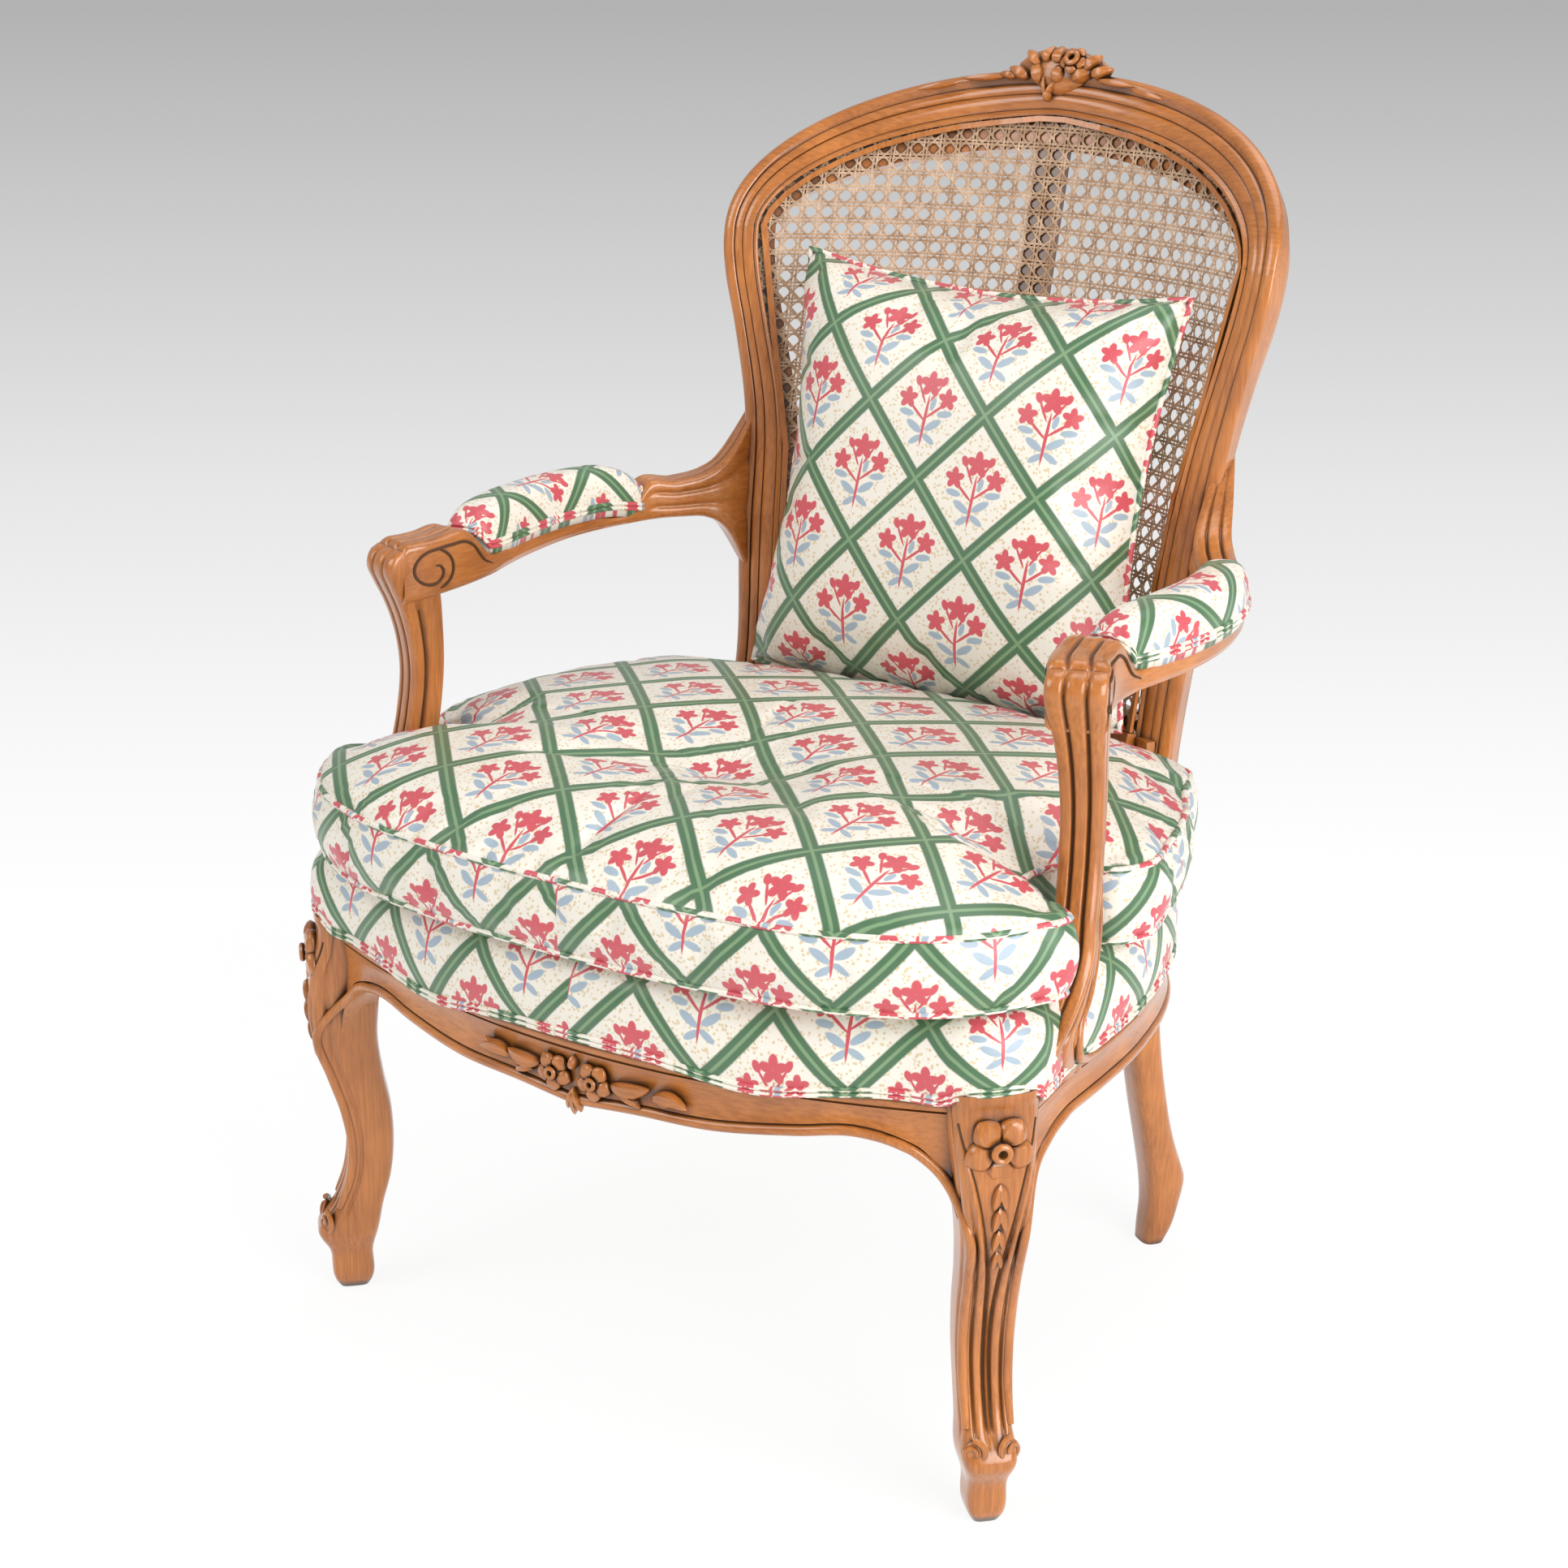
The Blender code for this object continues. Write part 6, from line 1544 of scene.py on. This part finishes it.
def points_of(mesh):
    """Vertex places of a mesh as an array."""
    places = np.empty(len(mesh.vertices) * 3)
    mesh.vertices.foreach_get("co", places)
    return places.reshape(-1, 3)


def cover(name, shapes, body="frame", nodes=(), weld=WELD):
    """One smooth piece of the printed cotton, with its seams closed unless weld is nought."""
    return piece(name, shapes, finish("cover"), body, nodes, weld, SMOOTH)


def moulded(name, shapes, grain, node, weld=0.0):
    """One piece of polished wood that stands for a CAD node, grain being the way its lines run."""
    return piece(name, shapes, finish("wood_" + grain), nodes=(node,), weld=weld)


def stuff(item, sewn, most):
    """Fills a cover by cloth simulation: pressure from inside, sewn points held, moves capped."""
    mesh, rest = item.data, points_of(item.data)
    group = item.vertex_groups.new(name="sewn")
    group.add(np.flatnonzero(sewn).tolist(), 1.0, "REPLACE")
    change = item.modifiers.new("stuffing", "CLOTH")
    cloth = change.settings
    cloth.vertex_group_mass = "sewn"
    cloth.use_pressure = True
    cloth.uniform_pressure_force = CLOTH_PRESSURE
    cloth.shrink_min = -CLOTH_SLACK
    cloth.effector_weights.gravity = 0.0
    cloth.quality = CLOTH_QUALITY
    change.collision_settings.use_collision = False
    change.point_cache.frame_end = CLOTH_FRAMES
    scene = bpy.context.scene
    for step in range(1, CLOTH_FRAMES + 1):
        scene.frame_set(step)
    moved = points_of(item.evaluated_get(bpy.context.evaluated_depsgraph_get()).data)
    item.modifiers.remove(change)
    item.vertex_groups.remove(group)
    scene.frame_set(1)
    move = moved - rest
    far = np.linalg.norm(move, axis=1, keepdims=True)
    move *= np.minimum(1.0, most / np.maximum(far, 1e-9))
    mesh.vertices.foreach_set("co", (rest + move).ravel())
    mesh.update()


def near(places, path, reach):
    """Which places lie within reach of a path's points."""
    found = np.zeros(len(places), bool)
    for part in np.array_split(np.asarray(path), max(len(path) // 40, 1)):
        gap = np.linalg.norm(places[:, None] - part[None], axis=2).min(axis=1)
        found |= gap < reach
    return found


class FauteuilBackFrame(bpy.types.Operator):
    """Moulded crest and stiles of the back"""

    bl_idname = "fauteuil.back_frame"
    bl_label = "Back frame"

    def execute(self, context):
        points = crest()
        shapes = [grid(points, around=True, caps=True), *crest_carving()]
        moulded("crest_rail_moulded", shapes, "across", "crest_rail", WELD)
        lines = quirk_lines(points, BACK_QUIRKS, slice(None), BACK_LINE)
        piece("crest_rail_lines", lines, finish("line"))
        for side, label in SIDES:
            node, points = f"rear_stile_{label}", stile(side)
            moulded(node + "_moulded", [grid(points, around=True, caps=True)], "up", node)
            lines = quirk_lines(points, BACK_QUIRKS, slice(STILE_LINES_FROM, None), BACK_LINE)
            piece(node + "_lines", lines, finish("line"))
        return {"FINISHED"}


class FauteuilCane(bpy.types.Operator):
    """Six-way cane weave of the back"""

    bl_idname = "fauteuil.cane"
    bl_label = "Cane"

    def execute(self, context):
        sizes = context.scene.fauteuil_sizes
        pitch, width = sizes.cane_pitch, sizes.cane_strand
        # The strands of a pair lie this far to each side of the net's line
        pair = CANE_PAIR * width
        steps = np.arange(-45, 46) * pitch
        straight, slanted = [], []
        for direction, phase, layer in (((0.0, 1.0), 0.0, 0.0), ((1.0, 0.0), math.pi, CROSS_LAYER)):
            for hand in (-1.0, 1.0):
                for ends in net_lines(direction, steps + hand * pair):
                    turn = phase + hand * math.pi / 2
                    straight.append(strand(*ends, width, layer, 2 * pitch, turn))
        skew = (np.arange(-90, 91) + 0.5) * pitch / math.sqrt(2)
        for direction, phase in (((1.0, 1.0), 0.0), ((1.0, -1.0), math.pi)):
            for ends in net_lines(direction, skew):
                wave = pitch * math.sqrt(2)
                slanted.append(strand(*ends, SLANT_WIDTH * width, SLANT_LAYER, wave, phase))
        nodes = tuple(f"cane_panel_{number}" for number in range(1, 6))
        piece("cane_straight_strands", straight, finish("cane"), nodes=nodes)
        piece("cane_slanted_strands", slanted, finish("cane"))
        return {"FINISHED"}


class FauteuilSeatFrame(bpy.types.Operator):
    """Front legs and rails of the seat"""

    bl_idname = "fauteuil.seat_frame"
    bl_label = "Seat frame"

    def execute(self, context):
        points = front_rail()
        shapes = [grid(points, around=True, caps=True), *rail_carving()]
        moulded("front_rail_moulded", shapes, "across", "front_rail", WELD)
        lines = quirk_lines(points, RAIL_QUIRKS, slice(8, -8), RAIL_LINE)
        piece("front_rail_lines", lines, finish("line"))
        for side, label in SIDES:
            leg, rail = f"front_leg_{label}", f"side_rail_{label}"
            carved = [front_leg(side), *leg_carving(side), *leg_beads(side)]
            moulded(leg + "_carved", carved, "up", leg, WELD)
            piece(leg + "_lines", leg_lines(side), finish("line"))
            points = side_rail(side)
            moulded(rail + "_moulded", [grid(points, around=True, caps=True)], "along", rail)
            lines = quirk_lines(points, RAIL_QUIRKS, slice(4, -2), RAIL_LINE)
            piece(rail + "_lines", lines, finish("line"))
        return {"FINISHED"}


class FauteuilArms(bpy.types.Operator):
    """Arms and their posts"""

    bl_idname = "fauteuil.arms"
    bl_label = "Arms"

    def execute(self, context):
        for side, label in SIDES:
            node = f"arm_{label}"
            moulded(node + "_shaped", [arm(side)], "along", node)
            piece(node + "_scrolls", arm_scrolls(side), finish("line"))
            node = f"arm_post_{label}"
            moulded(node + "_reeded", [post(side), post_foot(side)], "up", node)
            piece(node + "_lines", post_lines(side), finish("line"))
        return {"FINISHED"}


class FauteuilPads(bpy.types.Operator):
    """Stuffed arm pads with double welts"""

    bl_idname = "fauteuil.pads"
    bl_label = "Arm pads"

    def execute(self, context):
        radius = context.scene.fauteuil_sizes.small_welt
        for side, label in SIDES:
            node = f"arm_pad_{label}"
            rings, dome = pad_rings(side)
            rows, columns = dome.shape[:2]
            girth, run = run_along(dome[rows // 2]), run_along(dome[:, columns // 2])
            wrap = np.concatenate([girth, np.full(rings.shape[1] + 1 - len(girth), girth[-1])])
            uv = np.stack(np.meshgrid(run, wrap, indexing="ij")[::-1], axis=-1)
            pad = grid(rings, around=True, caps=True, uv=uv)
            item = cover(node + "_stuffed", [pad], nodes=(node,), weld=0.0)
            loop = np.vstack([dome[:, 0], dome[-1, 1:-1], dome[::-1, -1], dome[0, -2:0:-1]])
            cords = [tube(loop + [0.0, 0.0, lift], radius, closed=True) for lift in PAD_WELTS]
            cover(node + "_welt", cords)
        return {"FINISHED"}


class FauteuilDeck(bpy.types.Operator):
    """Tight seat deck with its double welt"""

    bl_idname = "fauteuil.deck"
    bl_label = "Seat deck"

    def execute(self, context):
        radius = context.scene.fauteuil_sizes.small_welt
        item = cover("seat_deck_cover", deck(), nodes=("seat_deck",))
        edge = deck_outline()
        low = deck_edge(edge)
        plan = edge + DECK_WELT_OUT * outline_normals(edge)
        paths = [np.column_stack([plan, low + lift * radius]) for lift in DECK_WELTS]
        cover("seat_deck_welt", [tube(path, radius, closed=True) for path in paths])
        return {"FINISHED"}


class FauteuilCushion(bpy.types.Operator):
    """Loose boxed seat cushion with welts and a tuft"""

    bl_idname = "fauteuil.cushion"
    bl_label = "Seat cushion"

    def execute(self, context):
        radius = context.scene.fauteuil_sizes.welt
        shapes, high, low = cushion_shapes()
        item = cover("seat_cushion_cover", shapes, "seat_cushion", ("seat_cushion",))
        places = points_of(item.data)
        sewn = near(places, np.vstack([high, low]), SEAM_REACH)
        sewn |= places[:, 2] < CUSHION_FOOT + 0.002
        sewn |= np.linalg.norm(places[:, :2] - [0.0, CUSHION_TUFT_Y], axis=1) < TUFT_HELD
        stuff(item, sewn, CUSHION_MOVE)
        cords = [tube(path, radius, closed=True) for path in (high, low)]
        cover("seat_cushion_welt", cords, "seat_cushion")
        return {"FINISHED"}


class FauteuilPillow(bpy.types.Operator):
    """Loose knife-edge pillow with a welt round its seam"""

    bl_idname = "fauteuil.pillow"
    bl_label = "Back pillow"

    def execute(self, context):
        radius = context.scene.fauteuil_sizes.welt
        front, rear, flat = pillow_sheets(49)
        shift = pillow_shift()
        front, rear = front + shift, rear + shift
        seam = (front + rear) / 2
        loop = np.vstack([seam[0, :-1], seam[:-1, -1], seam[-1, :0:-1], seam[:0:-1, 0]])
        for sheet in (front, rear):
            sheet[0], sheet[-1], sheet[:, 0], sheet[:, -1] = seam[0], seam[-1], seam[:, 0], seam[:, -1]
        sheets = [grid(front, uv=flat), grid(rear, uv=flat)]
        item = cover("back_pillow_cover", sheets, "back_pillow", ("back_pillow",))
        stuff(item, near(points_of(item.data), loop, SEAM_REACH), PILLOW_MOVE)
        cord = tube(loop, radius, closed=True, up=(0.05, 1.0, 0.1))
        cover("back_pillow_welt", [cord], "back_pillow")
        return {"FINISHED"}


class FauteuilHidden(bpy.types.Operator):
    """Finishes of the pieces that keep their CAD shape"""

    bl_idname = "fauteuil.hidden"
    bl_label = "Inner frame"

    def execute(self, context):
        finishes = (
            (("lower_back_rail", "rear_rail"), "wood_across"),
            # Painted shade: the brace behind the cane takes the darkened copy of the fruitwood
            (("back_brace",), "wood_painted_shade"),
            # Painted shade: the spline takes the fruitwood, so the painted shade of its hollows darkens
            # it beside the lip
            (("cane_spline",), "wood_up"),
            (("front_block_", "rear_block_"), "beech"),
            (("webbing_",), "jute"),
            (("front_screw_", "front_side_screw_", "rear_screw_", "rear_side_screw_"), "steel"),
        )
        for starts, name in finishes:
            for node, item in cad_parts.items():
                if node.startswith(starts):
                    item.data.materials.clear()
                    item.data.materials.append(finish(name))
        return {"FINISHED"}


class FauteuilStage(bpy.types.Operator):
    """Pale sweep, soft lamps and the camera of the photograph"""

    bl_idname = "fauteuil.stage"
    bl_label = "Stage"

    def execute(self, context):
        scene = context.scene
        material, tree, shader = fresh("paper_sweep")
        place = add(tree, "TexCoord", out=3)
        # Painted shade: the sweep glows in greys that darken away from the camera, by distance along the
        # view, from the chair backwards
        turn = math.radians(CAMERA_TURN)
        view = (-math.sin(turn), math.cos(turn), 0.0)
        away = add(tree, "VectorMath", {0: place, 1: view}, 1, operation="DOT_PRODUCT")
        # One over the distance from the camera's foot runs evenly up the picture
        stand = math.hypot(CAMERA_PLACE[0], CAMERA_PLACE[1])
        ahead = add(tree, "Math", {0: away, 1: stand}, operation="ADD")
        ahead = add(tree, "Math", {0: ahead, 1: NEAREST_SWEEP}, operation="MAXIMUM")
        level = add(tree, "Math", {0: 1.0, 1: ahead}, operation="DIVIDE")
        grey = add(tree, "ValToRGB", {0: level}, None)
        ramp = grey.color_ramp
        ramp.elements[1].position = SWEEP_PAINTED_GREYS[-1][0]
        for at, _ in SWEEP_PAINTED_GREYS[1:-1]:
            ramp.elements.new(at)
        for element, (at, code) in zip(ramp.elements, SWEEP_PAINTED_GREYS):
            element.position, element.color = at, rgba(linear(code))
        feed(tree, shader, {"Base Color": rgba((0.9, 0.9, 0.9)), "Roughness": 0.9})
        glow = add(tree, "Emission", {"Color": grey.outputs[0], "Strength": SWEEP_GLOW})
        ray = add(tree, "LightPath", out=None).outputs
        seen = ray["Is Camera Ray"]
        for kind in ("Is Glossy Ray", "Is Transmission Ray"):
            seen = add(tree, "Math", {0: seen, 1: ray[kind]}, operation="MAXIMUM")
        part = add(tree, "Math", {0: seen, 1: SWEEP_SHARE}, operation="MULTIPLY")
        both = add(tree, "MixShader", {0: part, 1: shader.outputs[0], 2: glow})
        feed(tree, tree.nodes["Material Output"], {"Surface": both})
        mesh = bpy.data.meshes.new("sweep")
        far = SWEEP_HALF
        square = [(-far, -far, 0), (far, -far, 0), (far, far, 0), (-far, far, 0)]
        mesh.from_pydata(square, [], [(0, 1, 2, 3)])
        floor = bpy.data.objects.new("sweep", mesh)
        mesh.materials.append(material)
        scene.collection.objects.link(floor)

        for name, spot, aim, size, power in LAMPS:
            lamp = bpy.data.lights.new(name, "AREA")
            lamp.size, lamp.energy = size, power
            holder = bpy.data.objects.new(name, lamp)
            holder.location = spot
            toward = np.array(aim) - np.array(spot)
            yaw = math.atan2(toward[0], -toward[1])
            pitch = math.atan2(math.hypot(toward[0], toward[1]), -toward[2])
            holder.rotation_euler = (pitch, 0.0, yaw + math.pi)
            scene.collection.objects.link(holder)
        world = bpy.data.worlds.new("studio")
        world.use_nodes = True
        sky = world.node_tree.nodes["Background"]
        feed(world.node_tree, sky, {"Color": rgba((1.0, 1.0, 1.0)), "Strength": ROOM_LIGHT})
        scene.world = world
        scene.view_settings.view_transform = "Standard"

        lens = bpy.data.cameras.new("photo_camera")
        lens.lens, lens.sensor_width = CAMERA_LENS, CAMERA_SENSOR
        camera = bpy.data.objects.new("photo_camera", lens)
        camera.location = CAMERA_PLACE
        camera.rotation_euler = (math.radians(90.0 - CAMERA_DROP), 0.0, turn)
        scene.collection.objects.link(camera)
        scene.camera = camera
        return {"FINISHED"}


OPERATORS = (
    FauteuilStage,
    FauteuilBackFrame,
    FauteuilCane,
    FauteuilSeatFrame,
    FauteuilArms,
    FauteuilPads,
    FauteuilDeck,
    FauteuilCushion,
    FauteuilPillow,
    FauteuilHidden,
)


class FauteuilPanel(bpy.types.Panel):
    """Lists the steps that dress the chair"""

    bl_idname = "VIEW3D_PT_fauteuil"
    bl_label = "Caned fauteuil"
    bl_space_type = "VIEW_3D"
    bl_region_type = "UI"
    bl_category = "Fauteuil"

    def draw(self, context):
        for group in (context.scene.fauteuil_finish, context.scene.fauteuil_sizes):
            for key in group.bl_rna.properties.keys():
                if key not in ("rna_type", "name"):
                    self.layout.prop(group, key)
        for step in OPERATORS:
            self.layout.operator(step.bl_idname)


CLASSES = (FauteuilFinish, FauteuilSizes, *OPERATORS, FauteuilPanel)


def register():
    for item in CLASSES:
        bpy.utils.register_class(item)
    bpy.types.Scene.fauteuil_finish = bpy.props.PointerProperty(type=FauteuilFinish)
    bpy.types.Scene.fauteuil_sizes = bpy.props.PointerProperty(type=FauteuilSizes)


def unregister():
    del bpy.types.Scene.fauteuil_finish
    del bpy.types.Scene.fauteuil_sizes
    for item in reversed(CLASSES):
        bpy.utils.unregister_class(item)


def main():
    """Runs every step."""
    register()
    for step in OPERATORS:
        group, name = step.bl_idname.split(".")
        getattr(getattr(bpy.ops, group), name)()


if __name__ == "__main__":
    main()
